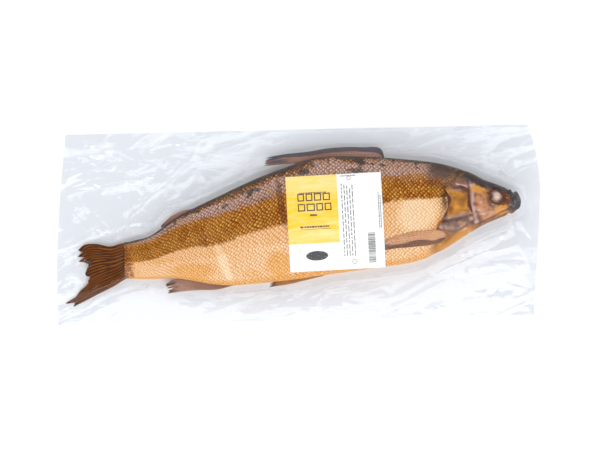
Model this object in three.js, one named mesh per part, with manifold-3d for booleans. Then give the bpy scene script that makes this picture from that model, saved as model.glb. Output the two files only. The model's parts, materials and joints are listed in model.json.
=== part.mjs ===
// A hot-smoked whitefish lying on its left side in a clear vacuum pouch with a paper label.
// Millimetres, +Z up. X runs from tail to snout, Y from belly to back, and the pouch lies on Z = 0.
// The origin is the middle of the pouch's footprint, on the surface that it lies on.
import * as THREE from "three";
import { mergeVertices } from "three/addons/utils/BufferGeometryUtils.js";
import Module from "manifold-3d";

const wasm = await Module();
wasm.setup();

// ---- Driving sizes ----
const bodyLength = 396; // snout to the root of the tail fin
const bodyDepth = 117; // back to belly at the deepest station
const bodyThickness = 41; // flank to flank at the thickest station
const sectionPower = 2.5; // 2 is an ellipse, and more is a boxier section
const tailLength = 62; // root of the tail fin to the tip of its lower lobe
const finThickness = 1.2;
const gillCoverThickness = 1.4;
const eyeDiameter = 13;
const eyeDepth = 6; // front to back of the eye, which is flatter than a ball
const eyeShows = 0.1; // how far the eye stands out of its socket
const filmThickness = 0.4;
const filmCling = 0.5; // between the skin and the film over it
const sealWidth = 4; // the rim where the two films meet
const gap = 0.3; // between pieces that touch
const headMargin = 19.7; // film past the snout
const tailMargin = 6.2; // film past the tail fin's lower lobe
const backMargin = 19.6; // film above the folded dorsal fin
const bellyMargin = 15.9; // film below the tail fin's lower lobe
const labelLength = 94.5;
const labelHeight = 94.5;
const labelThickness = 0.3;
const labelPlace = { along: 0.532, across: 33.6 }; // share of the body's length, and mm above the tail's axis
const labelTurn = THREE.MathUtils.degToRad(1.8);

// ---- Mesh fineness ----
const stationCount = 34;
const halfTurnSteps = 12;
const flangeShares = [0.3, 0.65, 1]; // shares of the way from the fish's edge to the seal
const columnsPastTail = [-0.12, -0.32, -0.54, -0.77]; // shares of the tail fin's length
const columnsPastSnout = [0.5, 1]; // shares of the way from the snout to the seal

// ---- The fish's form ----
// Each row: share of the length from the tail's root, midline's rise (share of the length),
// half depth and half thickness (shares of the largest).
const form = [
  [0, 0, 0.306, 0.3],
  [0.063, 0.006, 0.357, 0.36],
  [0.134, 0.0295, 0.52, 0.5],
  [0.25, 0.0465, 0.772, 0.72],
  [0.375, 0.0758, 0.93, 0.9],
  [0.49, 0.1, 1, 1],
  [0.63, 0.106, 0.945, 1],
  [0.742, 0.1104, 0.845, 0.93],
  [0.8, 0.118, 0.725, 0.87],
  [0.868, 0.1265, 0.513, 0.72],
  [0.906, 0.1272, 0.375, 0.6],
  [0.944, 0.1273, 0.275, 0.47],
  [0.975, 0.127, 0.18, 0.33],
  [1, 0.127, 0.07, 0.14],
];
const formAt = new THREE.CubicInterpolant(
  form.map((row) => row[0]),
  form.flatMap((row) => row.slice(1)),
  3,
);
// Height of the fish's middle plane, as a share of half the thickness: its tail hangs lower.
const lie = [
  [-0.173, 0.06],
  [-0.1, 0.12],
  [0, 0.39],
  [0.2, 0.64],
  [0.4, 0.82],
  [0.8, 0.82],
  [1, 0.64],
  [1.05, 0.35],
];
const lieAt = new THREE.CubicInterpolant(
  lie.map((row) => row[0]),
  lie.map((row) => row[1]),
  1,
);

const restLevel = filmThickness + gap; // underside of the flattened lower flank

function station(x) {
  const share = THREE.MathUtils.clamp(x / bodyLength, 0, 1);
  const [rise, depth, thickness] = formAt.evaluate(share);
  return {
    middle: rise * bodyLength,
    halfDepth: (depth * bodyDepth) / 2,
    halfThickness: (thickness * bodyThickness) / 2,
    level: restLevel + (lieAt.evaluate(x / bodyLength)[0] * bodyThickness) / 2,
  };
}

function backAt(share) {
  const s = station(share * bodyLength);
  return s.middle + s.halfDepth;
}

function bellyAt(share) {
  const s = station(share * bodyLength);
  return s.middle - s.halfDepth;
}

// A unit superellipse at an angle from the back: [towards the back, towards the upper flank].
function section(angle) {
  const bend = (value) => Math.sign(value) * Math.abs(value) ** (2 / sectionPower);
  return [bend(Math.cos(angle)), bend(Math.sin(angle))];
}

// ---- Outlines, as lists of [x, y] ----
// The tail fin's, in shares of its length, counted back from the root.
const tailOutline = [
  [0.0, -0.3],
  [-0.16, -0.43],
  [-0.52, -0.58],
  [-0.976, -0.766],
  [-1, -0.68],
  [-0.65, -0.37],
  [-0.645, 0.0],
  [-0.76, 0.18],
  [-0.69, 0.27],
  [-0.48, 0.285],
  [-0.22, 0.24],
  [0.0, 0.29],
].map(([x, y]) => [x * tailLength, y * tailLength]);

// Fins on the back and belly: [share of the length, mm out from the body's edge], folded back.
const dorsalRise = 11;
const dorsalOutline = [
  [0.652, -3],
  [0.659, dorsalRise],
  [0.505, 0.5 * dorsalRise],
  [0.357, 1.64 * dorsalRise],
  [0.352, 0.82 * dorsalRise],
  [0.42, -2],
].map(([share, out]) => [share * bodyLength, backAt(share) + out]);
const adiposeOutline = [
  [0.172, -2],
  [0.15, 3],
  [0.12, 4.5],
  [0.089, 2.5],
  [0.1, 0.6],
  [0.125, -2],
].map(([share, out]) => [share * bodyLength, backAt(share) + out]);
const analOutline = [
  [0.15, 2],
  [0.125, -2],
  [0.0997, -4.5],
  [0.1066, -15.5],
  [0.14, -13],
  [0.1826, -9],
  [0.23, -5],
  [0.275, 2],
].map(([share, out]) => [share * bodyLength, bellyAt(share) + out]);

// Pieces that lie in the flank: [share of the length, -1 at the belly to 1 at the back].
const onFlank = (outline) =>
  outline.map(([share, across]) => {
    const s = station(share * bodyLength);
    return [share * bodyLength, s.middle + across * s.halfDepth];
  });
const pectoralOutline = onFlank([
  [0.806, -0.58],
  [0.775, -0.46],
  [0.741, -0.39],
  [0.69, -0.39],
  [0.65, -0.5],
  [0.632, -0.63],
  [0.66, -0.69],
  [0.72, -0.71],
  [0.775, -0.75],
  [0.806, -0.72],
]);
const pelvicOutline = onFlank([
  [0.5, -0.88],
  [0.45, -0.82],
  [0.4, -0.82],
  [0.352, -0.9],
  [0.36, -0.94],
  [0.42, -0.95],
  [0.5, -0.94],
]);
const gillCoverOutline = onFlank([
  [0.844, 0.57],
  [0.812, 0.53],
  [0.805, 0.17],
  [0.798, -0.11],
  [0.788, -0.34],
  [0.812, -0.5],
  [0.85, -0.63],
  [0.874, -0.57],
  [0.879, -0.08],
  [0.869, 0.43],
]);
const eyePlace = { along: 0.938, across: 0.35 };

// ---- The pouch's outline ----
const pouch = {
  left: -tailLength - tailMargin,
  right: bodyLength + headMargin,
  bottom: Math.min(...tailOutline.map(([, y]) => y)) - bellyMargin,
  top: Math.max(...dorsalOutline.map(([, y]) => y)) + backMargin,
};
// How far each end of the pouch is drawn in, from its belly side to its back side.
const leftInset = new THREE.CubicInterpolant([0, 0.33, 0.75, 1], [0, 0.3, 6, 11.3], 1);
const rightInset = new THREE.CubicInterpolant(
  [0, 0.5, 0.7, 0.87, 1],
  [8, 1.6, 0, 3.6, 9.7],
  1,
);

// ---- The grid that films, fins and label share: columns along X and rows across ----
const columns = [
  pouch.left,
  pouch.left + sealWidth,
  ...columnsPastTail.map((share) => share * tailLength).reverse(),
  ...Array.from({ length: stationCount }, (_, i) => (bodyLength * i) / (stationCount - 1)),
  ...columnsPastSnout.map((share) => bodyLength + share * (headMargin - sealWidth)),
  pouch.right,
];
const firstStation = columns.indexOf(0);
const rows = [
  { side: "belly", share: 1, isRim: true },
  ...flangeShares.map((share) => ({ side: "belly", share })).reverse(),
  ...Array.from({ length: halfTurnSteps + 1 }, (_, i) => ({
    side: "over",
    angle: Math.PI * (1 - i / halfTurnSteps),
  })),
  ...flangeShares.map((share) => ({ side: "back", share })),
  { side: "back", share: 1, isRim: true },
];
const overRows = rows.filter((row) => row.side === "over");

const atRim = (column, row) =>
  column === 0 || column === columns.length - 1 || row.isRim === true;

// Half the space between the films: room for a fin, and next to nothing at the sealed rim.
const apart = (column, row) => (atRim(column, row) ? gap / 2 : finThickness / 2 + gap);

// The film's middle height: level with the fish, and down to the surface at the long edges.
function seamLevel(column, row) {
  const lowest = filmThickness + apart(column, row);
  const droop = row.side === "over" ? 1 : (1 + Math.cos(Math.PI * row.share)) / 2;
  const { level } = station(columns[column]);
  return lowest + Math.max(level - lowest, 0) * droop;
}

// A grid point, its distance out from the skin's edge, and how far it is out from the skin.
function gridPoint(column, row, out, z) {
  const s = station(columns[column]);
  const edge = s.halfDepth + out;
  let y = 0;
  if (row.side === "over") y = s.middle + edge * section(row.angle)[0];
  const seal = row.isRim ? 0 : sealWidth;
  if (row.side === "belly")
    y = THREE.MathUtils.lerp(s.middle - edge, pouch.bottom + seal, row.share);
  if (row.side === "back")
    y = THREE.MathUtils.lerp(s.middle + edge, pouch.top - seal, row.share);
  const height = (y - pouch.bottom) / (pouch.top - pouch.bottom);
  const x = columns[column];
  const pastTail = THREE.MathUtils.clamp(x / pouch.left, 0, 1);
  const pastSnout = THREE.MathUtils.clamp((x - bodyLength) / headMargin, 0, 1);
  const inset =
    pastTail ** 6 * leftInset.evaluate(height)[0] -
    pastSnout * rightInset.evaluate(height)[0];
  return new THREE.Vector3(x + inset, y, z);
}

// ---- Solid helpers ----
function solid(geometry) {
  const bare = geometry.clone();
  bare.deleteAttribute("normal");
  bare.deleteAttribute("uv");
  const merged = mergeVertices(bare, 1e-4);
  return new wasm.Manifold(
    new wasm.Mesh({
      numProp: 3,
      vertProperties: new Float32Array(merged.attributes.position.array),
      triVerts: new Uint32Array(merged.index.array),
    }),
  );
}

function geometryOf(manifold) {
  const mesh = manifold.getMesh();
  const geometry = new THREE.BufferGeometry();
  geometry.setAttribute("position", new THREE.BufferAttribute(mesh.vertProperties, 3));
  geometry.setIndex(new THREE.BufferAttribute(mesh.triVerts, 1));
  geometry.computeVertexNormals();
  return geometry;
}

// A box whose grid of vertices is moved: place(column, row, isUpper) gives each its point.
function sheet(columnCount, rowCount, place) {
  const geometry = new THREE.BoxGeometry(1, 1, 1, columnCount - 1, rowCount - 1, 1);
  const position = geometry.attributes.position;
  for (let i = 0; i < position.count; i++) {
    const column = Math.round((position.getX(i) + 0.5) * (columnCount - 1));
    const row = Math.round((position.getY(i) + 0.5) * (rowCount - 1));
    const point = place(column, row, position.getZ(i) > 0);
    position.setXYZ(i, point.x, point.y, point.z);
  }
  // Both faces are split along the same diagonals, so that layers nest in each other.
  const lowerFace = geometry.groups[5];
  for (let k = lowerFace.start; k < lowerFace.start + lowerFace.count; k += 6) {
    const [a, b, d, , c] = geometry.index.array.slice(k, k + 6);
    geometry.index.array.set([a, b, c, a, c, d], k);
  }
  return geometry;
}

// An outline grown by a distance, its corners mitred so that both sides keep the distance.
function grown(outline, by) {
  const turn = Math.sign(THREE.ShapeUtils.area(outline.map(([x, y]) => ({ x, y }))));
  const outwards = (from, to) => {
    const along = new THREE.Vector2(to[0] - from[0], to[1] - from[1]).normalize();
    return new THREE.Vector2(turn * along.y, -turn * along.x);
  };
  return outline.map((corner, i) => {
    const before = outwards(outline.at(i - 1), corner);
    const after = outwards(corner, outline[(i + 1) % outline.length]);
    const mitre = before.clone().add(after).multiplyScalar(by / (1 + before.dot(after)));
    return [corner[0] + mitre.x, corner[1] + mitre.y];
  });
}

// An upright prism on an outline, taller than the whole object.
function prism(outline, smooth = true) {
  const corners = outline.map(([x, y]) => new THREE.Vector2(x, y));
  const curve = new THREE.SplineCurve([...corners, corners[0]]);
  const shape = new THREE.Shape(smooth ? curve.getPoints(outline.length * 3) : corners);
  const reach = 2 * bodyThickness;
  const geometry = new THREE.ExtrudeGeometry(shape, { depth: 2 * reach, bevelEnabled: false });
  return solid(geometry.translate(0, 0, -reach));
}

// ---- Fish ----
// Height of the skin, or of a layer that far out from it, on the upper or the lower flank.
function flankHeight(x, angle, side, out) {
  const s = station(x);
  const height = s.level + side * (s.halfThickness + out) * Math.abs(section(angle)[1]);
  return side > 0 ? height : Math.max(height, restLevel - out);
}

// The trunk and head, or the same form grown by a distance.
function fishForm(out) {
  const geometry = new THREE.CylinderGeometry(1, 1, 1, 2 * halfTurnSteps, stationCount - 1);
  const position = geometry.attributes.position;
  for (let i = 0; i < position.count; i++) {
    const [flank, along, back] = new THREE.Vector3().fromBufferAttribute(position, i);
    const x = (along + 0.5) * bodyLength;
    const s = station(x);
    const onRim = Math.hypot(flank, back) > 0.5;
    const angle = Math.atan2(Math.abs(flank), back);
    const side = flank < 0 ? -1 : 1;
    const y = onRim ? s.middle + (s.halfDepth + out) * section(angle)[0] : s.middle;
    const z = onRim ? flankHeight(x, angle, side, out) : s.level;
    position.setXYZ(i, x, y, z);
  }
  return solid(geometry);
}

// A layer in the flank between two depths under the skin, on the upper or the lower side.
function flankLayer(side, inner, outer) {
  const place = (column, row, isUpper) => {
    const x = columns[firstStation + column];
    const out = isUpper === side > 0 ? outer : inner;
    const s = station(x);
    const { angle } = overRows[row];
    const y = s.middle + (s.halfDepth + out) * section(angle)[0];
    return new THREE.Vector3(x, y, flankHeight(x, angle, side, out));
  };
  return solid(sheet(stationCount, overRows.length, place));
}

// A piece set flush into the flank, and the recess that it lies in.
function inlay(outline, side, thickness) {
  const recessOutside = 2;
  return {
    piece: flankLayer(side, -thickness, 0).intersect(prism(outline)),
    recess: flankLayer(side, -thickness - gap, recessOutside).intersect(
      prism(grown(outline, gap)),
    ),
  };
}

function eyeBall(side, extra) {
  const x = eyePlace.along * bodyLength;
  const s = station(x);
  const angle = Math.acos(eyePlace.across ** (sectionPower / 2));
  const radius = eyeDiameter / 2 + extra;
  const skin = flankHeight(x, angle, side, 0);
  const geometry = new THREE.SphereGeometry(1, 20, 12);
  geometry.rotateX(Math.PI / 2).scale(radius, radius, eyeDepth / 2 + extra);
  const z = skin - side * (eyeDepth / 2 - eyeShows);
  return solid(geometry.translate(x, s.middle + eyePlace.across * s.halfDepth, z));
}

// A plate along the fish's middle plane, which droops with the film, cut to a fin's outline.
function medianFin(outline) {
  const place = (column, index, isUpper) => {
    const row = rows[index];
    const half = finThickness / 2;
    const z = seamLevel(column, row) + (isUpper ? half : -half);
    return gridPoint(column, row, filmCling, z);
  };
  const plate = solid(sheet(columns.length, rows.length, place));
  return plate.intersect(prism(outline)).subtract(bodyShadow);
}

// The body's own outline, grown by the gap, as a prism: what a fin stops at.
const bodyOutline = columns.slice(firstStation, firstStation + stationCount);
const bodyShadow = prism(
  grown(
    [
      ...bodyOutline.map((x) => [x, station(x).middle - station(x).halfDepth]),
      ...bodyOutline.map((x) => [x, station(x).middle + station(x).halfDepth]).reverse(),
    ],
    gap,
  ),
  false,
);

// ---- Pouch and label ----
// A layer that follows the pouch's upper (side 1) or lower film, between two distances out.
function filmLayer(side, inner, outer) {
  const place = (column, index, isUpper) => {
    const row = rows[index];
    const out = isUpper === side > 0 ? outer : inner;
    const x = columns[column];
    const isFish = x >= 0 && x <= bodyLength;
    const bulge = (s) => (s.halfThickness + filmCling + out) * Math.abs(section(row.angle)[1]);
    const over = row.side === "over" && isFish ? bulge(station(x)) : 0;
    const height = Math.max(over, apart(column, row) + out);
    const z = seamLevel(column, row) + side * height;
    const lowest = filmThickness - out;
    return gridPoint(column, row, filmCling + out, side > 0 ? z : Math.max(z, lowest));
  };
  return solid(sheet(columns.length, rows.length, place));
}

function label() {
  const x = labelPlace.along * bodyLength;
  const corners = [
    [-1, -1],
    [1, -1],
    [1, 1],
    [-1, 1],
  ].map(([i, j]) => {
    const corner = new THREE.Vector2((i * labelLength) / 2, (j * labelHeight) / 2);
    corner.rotateAround(new THREE.Vector2(), labelTurn);
    return [x + corner.x, labelPlace.across + corner.y];
  });
  const under = filmThickness + gap;
  return filmLayer(1, under, under + labelThickness).intersect(prism(corners, false));
}

// ---- Assembly ----
const skin = { color: 0xb87530, roughness: 0.35, metalness: 0.1 };
const finish = {
  skin: new THREE.MeshStandardMaterial(skin),
  gillCover: new THREE.MeshStandardMaterial({ ...skin, color: 0xa5682c, roughness: 0.25 }),
  fin: new THREE.MeshStandardMaterial({ color: 0x6a3a18, roughness: 0.5, metalness: 0 }),
  eye: new THREE.MeshStandardMaterial({ color: 0xa08878, roughness: 0.2, metalness: 0 }),
  film: new THREE.MeshStandardMaterial({
    color: 0xe9f0f6,
    roughness: 0.08,
    metalness: 0,
    transparent: true,
    opacity: 0.25,
  }),
  label: new THREE.MeshStandardMaterial({ color: 0xf4e9a8, roughness: 0.6, metalness: 0 }),
};

const part = new THREE.Group();
const add = (name, shape, material) => {
  const mesh = new THREE.Mesh(geometryOf(shape), finish[material]);
  mesh.name = name;
  part.add(mesh);
};

let body = fishForm(0);
for (const [sideName, side] of [
  ["right", 1],
  ["left", -1],
]) {
  const pectoral = inlay(pectoralOutline, side, finThickness);
  const pelvic = inlay(pelvicOutline, side, finThickness);
  const gillCover = inlay(gillCoverOutline, side, gillCoverThickness);
  for (const { recess } of [pectoral, pelvic, gillCover]) body = body.subtract(recess);
  body = body.subtract(eyeBall(side, gap));
  add(`pectoral_fin_${sideName}`, pectoral.piece, "fin");
  add(`pelvic_fin_${sideName}`, pelvic.piece, "fin");
  add(`gill_cover_${sideName}`, gillCover.piece, "gillCover");
  add(`eye_${sideName}`, eyeBall(side, 0).intersect(fishForm(eyeShows)), "eye");
}
add("fish_body", body, "skin");
add("tail_fin", medianFin(tailOutline), "fin");
add("dorsal_fin", medianFin(dorsalOutline), "fin");
add("adipose_fin", medianFin(adiposeOutline), "fin");
add("anal_fin", medianFin(analOutline), "fin");
add("pouch_film_top", filmLayer(1, 0, filmThickness), "film");
add("pouch_film_bottom", filmLayer(-1, 0, filmThickness), "film");
add("label", label(), "label");

part.position.set(-(pouch.left + pouch.right) / 2, -(pouch.bottom + pouch.top) / 2, 0);

export default part;
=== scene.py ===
"""Smoked whitefish in a clear vacuum pouch: skin, fins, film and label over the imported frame."""

import json
import math

import bpy
import numpy as np
from bpy.props import FloatProperty, FloatVectorProperty, IntProperty, PointerProperty
from mathutils import Matrix, Vector

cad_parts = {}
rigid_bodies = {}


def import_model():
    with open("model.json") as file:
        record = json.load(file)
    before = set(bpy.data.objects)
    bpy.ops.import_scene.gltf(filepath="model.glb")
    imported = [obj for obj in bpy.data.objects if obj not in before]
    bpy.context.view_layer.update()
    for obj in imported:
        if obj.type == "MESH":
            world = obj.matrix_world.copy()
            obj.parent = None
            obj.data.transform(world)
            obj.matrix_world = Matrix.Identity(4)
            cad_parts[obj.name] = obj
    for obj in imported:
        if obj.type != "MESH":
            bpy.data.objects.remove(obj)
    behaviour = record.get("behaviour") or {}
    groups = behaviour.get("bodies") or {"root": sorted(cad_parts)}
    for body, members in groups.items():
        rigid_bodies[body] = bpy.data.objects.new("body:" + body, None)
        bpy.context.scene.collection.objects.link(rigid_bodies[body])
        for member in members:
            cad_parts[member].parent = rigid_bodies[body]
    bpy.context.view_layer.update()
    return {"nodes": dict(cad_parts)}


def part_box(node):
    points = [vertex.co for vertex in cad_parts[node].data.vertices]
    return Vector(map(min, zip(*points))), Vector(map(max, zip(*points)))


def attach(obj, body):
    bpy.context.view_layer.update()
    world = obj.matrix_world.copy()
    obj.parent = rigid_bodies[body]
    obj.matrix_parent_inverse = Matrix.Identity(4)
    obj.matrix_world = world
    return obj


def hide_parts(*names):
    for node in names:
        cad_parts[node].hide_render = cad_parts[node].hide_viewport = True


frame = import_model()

bl_info = {
    "name": "Smoked Whitefish",
    "version": (1, 0, 0),
    "blender": (4, 5, 0),
    "location": "View3D > Sidebar > Whitefish",
    "description": "Builds a smoked whitefish in a vacuum pouch, piece by piece",
    "category": "Add Mesh",
}

MM = 0.001

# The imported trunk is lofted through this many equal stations, with this section power.
STATION_COUNT = 34
SECTION_POWER = 2.5
FILM_STAND_OFF = 0.9 * MM  # packed film's outside to the skin
REST_LEVEL = 0.7 * MM
FILM_IOR = 1.52
SCALE_IRREGULARITY = 0.38
NOMINAL_LENGTH = 396  # millimetres from the tail's root to the snout, to lay ripples by
SIDES = (("right", 1), ("left", -1))


# ---------------------------------------------------------------- sizes and colours


def length(label, text, millimetres):
    """A length that can be set, given in millimetres."""
    return FloatProperty(
        name=label, description=text, default=millimetres * MM, min=0.0, unit="LENGTH", precision=5
    )


def colour(label, text, red, green, blue):
    """A colour that can be set, in linear light."""
    return FloatVectorProperty(
        name=label,
        description=text,
        default=(red, green, blue),
        min=0.0,
        max=1.0,
        size=3,
        subtype="COLOR",
    )


class WhitefishSizes(bpy.types.PropertyGroup):
    skin_steps: IntProperty(name="Skin steps", description="Rings along the body", default=450)
    skin_ring: IntProperty(name="Skin ring", description="Points around each ring", default=216)
    scale_pitch: length("Scale pitch", "Width of the scales on the deepest part", 4.4)
    scale_relief: length("Scale relief", "Height of a scale's free edge", 0.3)
    gill_edge: length("Gill cover edge", "How proud the gill cover stands at its rear", 0.9)
    fin_root: length("Fin root", "Thickness of a fin where it leaves the body", 1.9)
    fin_tip: length("Fin tip", "Thickness of a fin at its frayed edge", 0.6)
    eye_radius: length("Eye radius", "Radius of the clouded eye", 7.0)
    film_step: length("Film step", "Spacing of the film's mesh", 1.12)
    film_cling: length("Film cling", "Space between the skin and the film", 0.25)
    crease_height: length("Crease height", "Height of the film's largest creases", 2.1)
    label_side: length("Label side", "Side of the square label", 94.5)
    label_paper: length("Label paper", "Thickness of the label", 0.25)


class WhitefishColours(bpy.types.PropertyGroup):
    # Also the painted shade line just behind the gill cover.
    back: colour("Back", "Blackened back", 0.022, 0.011, 0.006)
    flank: colour("Upper flank", "Dark gold above the mid flank", 0.4, 0.128, 0.006)
    # Painted shade in the scale pockets; also the deep tone of the upper back.
    flank_dark: colour("Scale pockets", "Brown between the scales", 0.09, 0.02, 0.002)
    # Painted glint: a highlight painted on the scales' free edges.
    glint: colour("Scale glint", "Bright gold of the scales' free edges", 0.98, 0.55, 0.14)
    # Painted sheen: a reflection of a soft light, painted as a mauve band below the back.
    sheen: colour("Silver band", "Silvery mauve band below the back", 0.54, 0.37, 0.32)
    # Lower flank: paler skin with a reflection of a soft light painted into it; also the pectoral fin's ray
    # colour.
    light: colour("Lower flank", "Light pinkish gold", 0.95, 0.6, 0.33)
    # Also painted glints on the lower flank, a painted highlight stripe and the eye's painted highlights.
    cream: colour("Cream", "Palest skin behind the head", 0.95, 0.72, 0.47)
    gold: colour("Belly gold", "Saturated orange gold", 0.82, 0.38, 0.05)
    head: colour("Head", "Smoked skin of the head", 0.3, 0.12, 0.05)
    cheek: colour("Cheek", "Pale orange cheek", 0.56, 0.26, 0.13)
    char: colour("Char", "Blackened snout and crown", 0.022, 0.013, 0.011)
    gill: colour("Gill cover", "Golden patch of the gill cover", 0.7, 0.3, 0.03)
    # Also painted shade: round the eye's socket, in the head's creases, behind the gill cover and beside
    # the label.
    gill_shade: colour("Gill shade", "Red brown of the gill cover's edges", 0.1, 0.026, 0.009)
    # Also painted highlights on the head's bones and the glints of the sheen band.
    mauve: colour("Mauve", "Thin silvery skin", 0.62, 0.44, 0.41)
    fin: colour("Fin", "Dried fin web", 0.035, 0.006, 0.001)
    fin_ray: colour("Fin ray", "Dried fin rays", 0.43, 0.13, 0.006)
    fin_grey: colour("Grey fin", "Slate grey of the back fin", 0.075, 0.07, 0.085)
    eye: colour("Eye", "Clouded lens", 0.4, 0.26, 0.2)
    iris: colour("Iris", "Ring around the lens", 0.12, 0.05, 0.03)
    film: colour("Film", "Tint of one pass through loose film", 0.94, 0.949, 0.963)
    taut_film: colour("Taut film", "Tint of one pass through film that clings", 0.98, 0.98, 0.98)
    paper: colour("Paper", "Label paper", 0.86, 0.865, 0.87)
    wash: colour("Pale wash", "Pale yellow of the label's panel", 1.0, 0.72, 0.25)
    strong_wash: colour("Strong wash", "Strong yellow of the label's panel", 1.0, 0.56, 0.0)
    ink: colour("Ink", "Print on the label", 0.04, 0.04, 0.045)
    floor: colour("Floor", "Studio floor", 0.93, 0.93, 0.93)


def sizes():
    """The sizes as they are set now."""
    return bpy.context.scene.whitefish_sizes


def colours():
    """The colours as they are set now."""
    return bpy.context.scene.whitefish_colours


# ---------------------------------------------------------------- numbers


def step(low, high, value):
    """Smooth step: 0 below low, 1 above high, 3q^2 - 2q^3 between."""
    q = np.clip((value - low) / (high - low), 0.0, 1.0)
    return q * q * (3.0 - 2.0 * q)


def hump(centre, half, value):
    """Bell: 1 at the centre, about a third at the half width."""
    return np.exp(-(((value - centre) / half) ** 2))


def smooth(places, values, at):
    """Cubic through the values at increasing places, with slopes from their neighbours."""
    places = np.asarray(places, float)
    values = np.asarray(values, float)
    slopes = np.gradient(values, places, axis=0)
    i = np.clip(np.searchsorted(places, at) - 1, 0, len(places) - 2)
    span = places[i + 1] - places[i]
    q = np.clip((at - places[i]) / span, 0.0, 1.0)
    shape = q.shape + (1,) * (values.ndim - 1)
    q, span = q.reshape(shape), span.reshape(shape)
    start = (1 + 2 * q) * (1 - q) ** 2 * values[i] + q * (1 - q) ** 2 * span * slopes[i]
    end = q * q * (3 - 2 * q) * values[i + 1] + q * q * (q - 1) * span * slopes[i + 1]
    return start + end


def curve(points, at):
    """Smooth curve through the points, at shares 0 to 1 of its chord length."""
    points = np.asarray(points, float)
    chord = np.r_[0, np.cumsum(np.linalg.norm(np.diff(points, axis=0), axis=1))]
    return smooth(chord / chord[-1], points, np.asarray(at, float))


def ripple(x, y, size, seed, count=9):
    """Sum of sines in random directions whose wavelengths lie around the size; about -1 to 1."""
    rng = np.random.default_rng(seed)
    total = np.zeros(np.broadcast(x, y).shape)
    for _ in range(count):
        turn, phase = rng.uniform(0, 2 * math.pi, 2)
        wave = 2 * math.pi / (size * rng.uniform(0.6, 1.6))
        total += np.sin(wave * (x * math.cos(turn) + y * math.sin(turn)) + phase)
    return total / math.sqrt(count)


def blur(grid):
    """Mean of the four neighbours, with the border kept."""
    mean = grid.copy()
    inner = grid[:-2, 1:-1] + grid[2:, 1:-1] + grid[1:-1, :-2] + grid[1:-1, 2:]
    mean[1:-1, 1:-1] = inner / 4
    return mean


# ---------------------------------------------------------------- meshes


def grid_faces(rows, columns, closed=False):
    """Quads of a grid whose points are numbered row by row; closed joins the last column to the first."""
    i, j = np.meshgrid(np.arange(rows - 1), np.arange(columns - (not closed)), indexing="ij")
    k = (j + 1) % columns
    near, far = i * columns, (i + 1) * columns
    return np.stack([near + j, far + j, far + k, near + k], -1).reshape(-1, 4)


def add_mesh(name, points, faces, uv=None, masks=None):
    """A mesh object from arrays, with an optional UV map and named masks, one value per vertex."""
    mesh = bpy.data.meshes.new(name)
    mesh.from_pydata(points.reshape(-1, 3), [], faces)
    mesh.polygons.foreach_set("use_smooth", np.ones(len(mesh.polygons), bool))
    corners = np.empty(len(mesh.loops), np.int32)
    mesh.loops.foreach_get("vertex_index", corners)
    if uv is not None:
        layer = mesh.uv_layers.new(name="Lay")
        layer.data.foreach_set("uv", uv.reshape(-1, 2)[corners].ravel())
    for mask, values in (masks or {}).items():
        field = mesh.attributes.new(mask, "FLOAT", "POINT")
        field.data.foreach_set("value", np.asarray(values, float).ravel())
    mesh.validate()
    mesh.update()
    piece = bpy.data.objects.new(name, mesh)
    bpy.context.scene.collection.objects.link(piece)
    return piece


def add_tube(name, rings, uv=None, masks=None):
    """A closed solid from rings of points; each end is closed by strips between mirrored points."""
    count, around = rings.shape[:2]
    sides = grid_faces(count, around, closed=True)
    j = np.arange(around // 2 - 1)
    first = np.stack([j, j + 1, around - 2 - j, around - 1 - j], -1)
    last = first[:, ::-1] + (count - 1) * around
    return add_mesh(name, rings, np.concatenate([sides, first, last]), uv, masks)


def fold(upper, lower):
    """Rings that go along the upper surface's row and back along the lower one's."""
    return np.concatenate([upper, lower[:, ::-1]], axis=1)


def there_and_back(upper, lower):
    """Rings that go out over the upper surface and come back under the lower one."""
    return np.concatenate([upper, lower[::-1]])


def facing_out(piece):
    """Turns a closed piece's faces outwards when its volume comes out negative."""
    mesh = piece.data
    mesh.calc_loop_triangles()
    points = np.empty(len(mesh.vertices) * 3)
    mesh.vertices.foreach_get("co", points)
    corners = np.empty(len(mesh.loop_triangles) * 3, np.int32)
    mesh.loop_triangles.foreach_get("vertices", corners)
    a, b, c = points.reshape(-1, 3)[corners.reshape(-1, 3)].transpose(1, 0, 2)
    if np.einsum("ij,ij->i", a, np.cross(b, c)).sum() < 0:
        mesh.flip_normals()
    return piece


def vertices_of(thing):
    """A mesh object's points, in its own frame."""
    points = np.empty(len(thing.data.vertices) * 3)
    thing.data.vertices.foreach_get("co", points)
    return points.reshape(-1, 3)


def settle(piece, node, material):
    """Gives a finished piece its material and the body it moves with, and hides the imported part it stands
    for.
    """
    piece.data.materials.append(material)
    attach(piece, "root")
    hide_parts(node)
    return piece


# ---------------------------------------------------------------- the fish's form


def read_form():
    """Middle, half depth, half thickness and level at each station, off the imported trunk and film."""
    low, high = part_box("fish_body")
    trunk = vertices_of(frame["nodes"]["fish_body"])
    film = vertices_of(frame["nodes"]["pouch_film_top"])
    places = np.linspace(low[0], high[0], STATION_COUNT)
    rows = []
    for x in places:
        ring = trunk[np.abs(trunk[:, 0] - x) < 0.05 * MM]
        over = film[np.abs(film[:, 0] - x) < 0.05 * MM]
        back = ring[ring[:, 1].argmax()]
        belly = ring[ring[:, 1].argmin()]
        crown = over[:, 2].max() - FILM_STAND_OFF
        middle = (back[1] + belly[1]) / 2
        rows.append([middle, back[1] - middle, crown - back[2], back[2]])
    return places, np.array(rows)


STATIONS, FORM = read_form()
TAIL_ROOT, SNOUT = STATIONS[0], STATIONS[-1]
BODY_LENGTH = SNOUT - TAIL_ROOT


def form_at(x):
    """Middle, half depth, half thickness and level at a place along the body."""
    return np.moveaxis(smooth(STATIONS, FORM, np.clip(x, TAIL_ROOT, SNOUT)), -1, 0)


def along(share):
    """X of a share of the body's length, from the tail's root."""
    return TAIL_ROOT + np.asarray(share, float) * BODY_LENGTH


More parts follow.
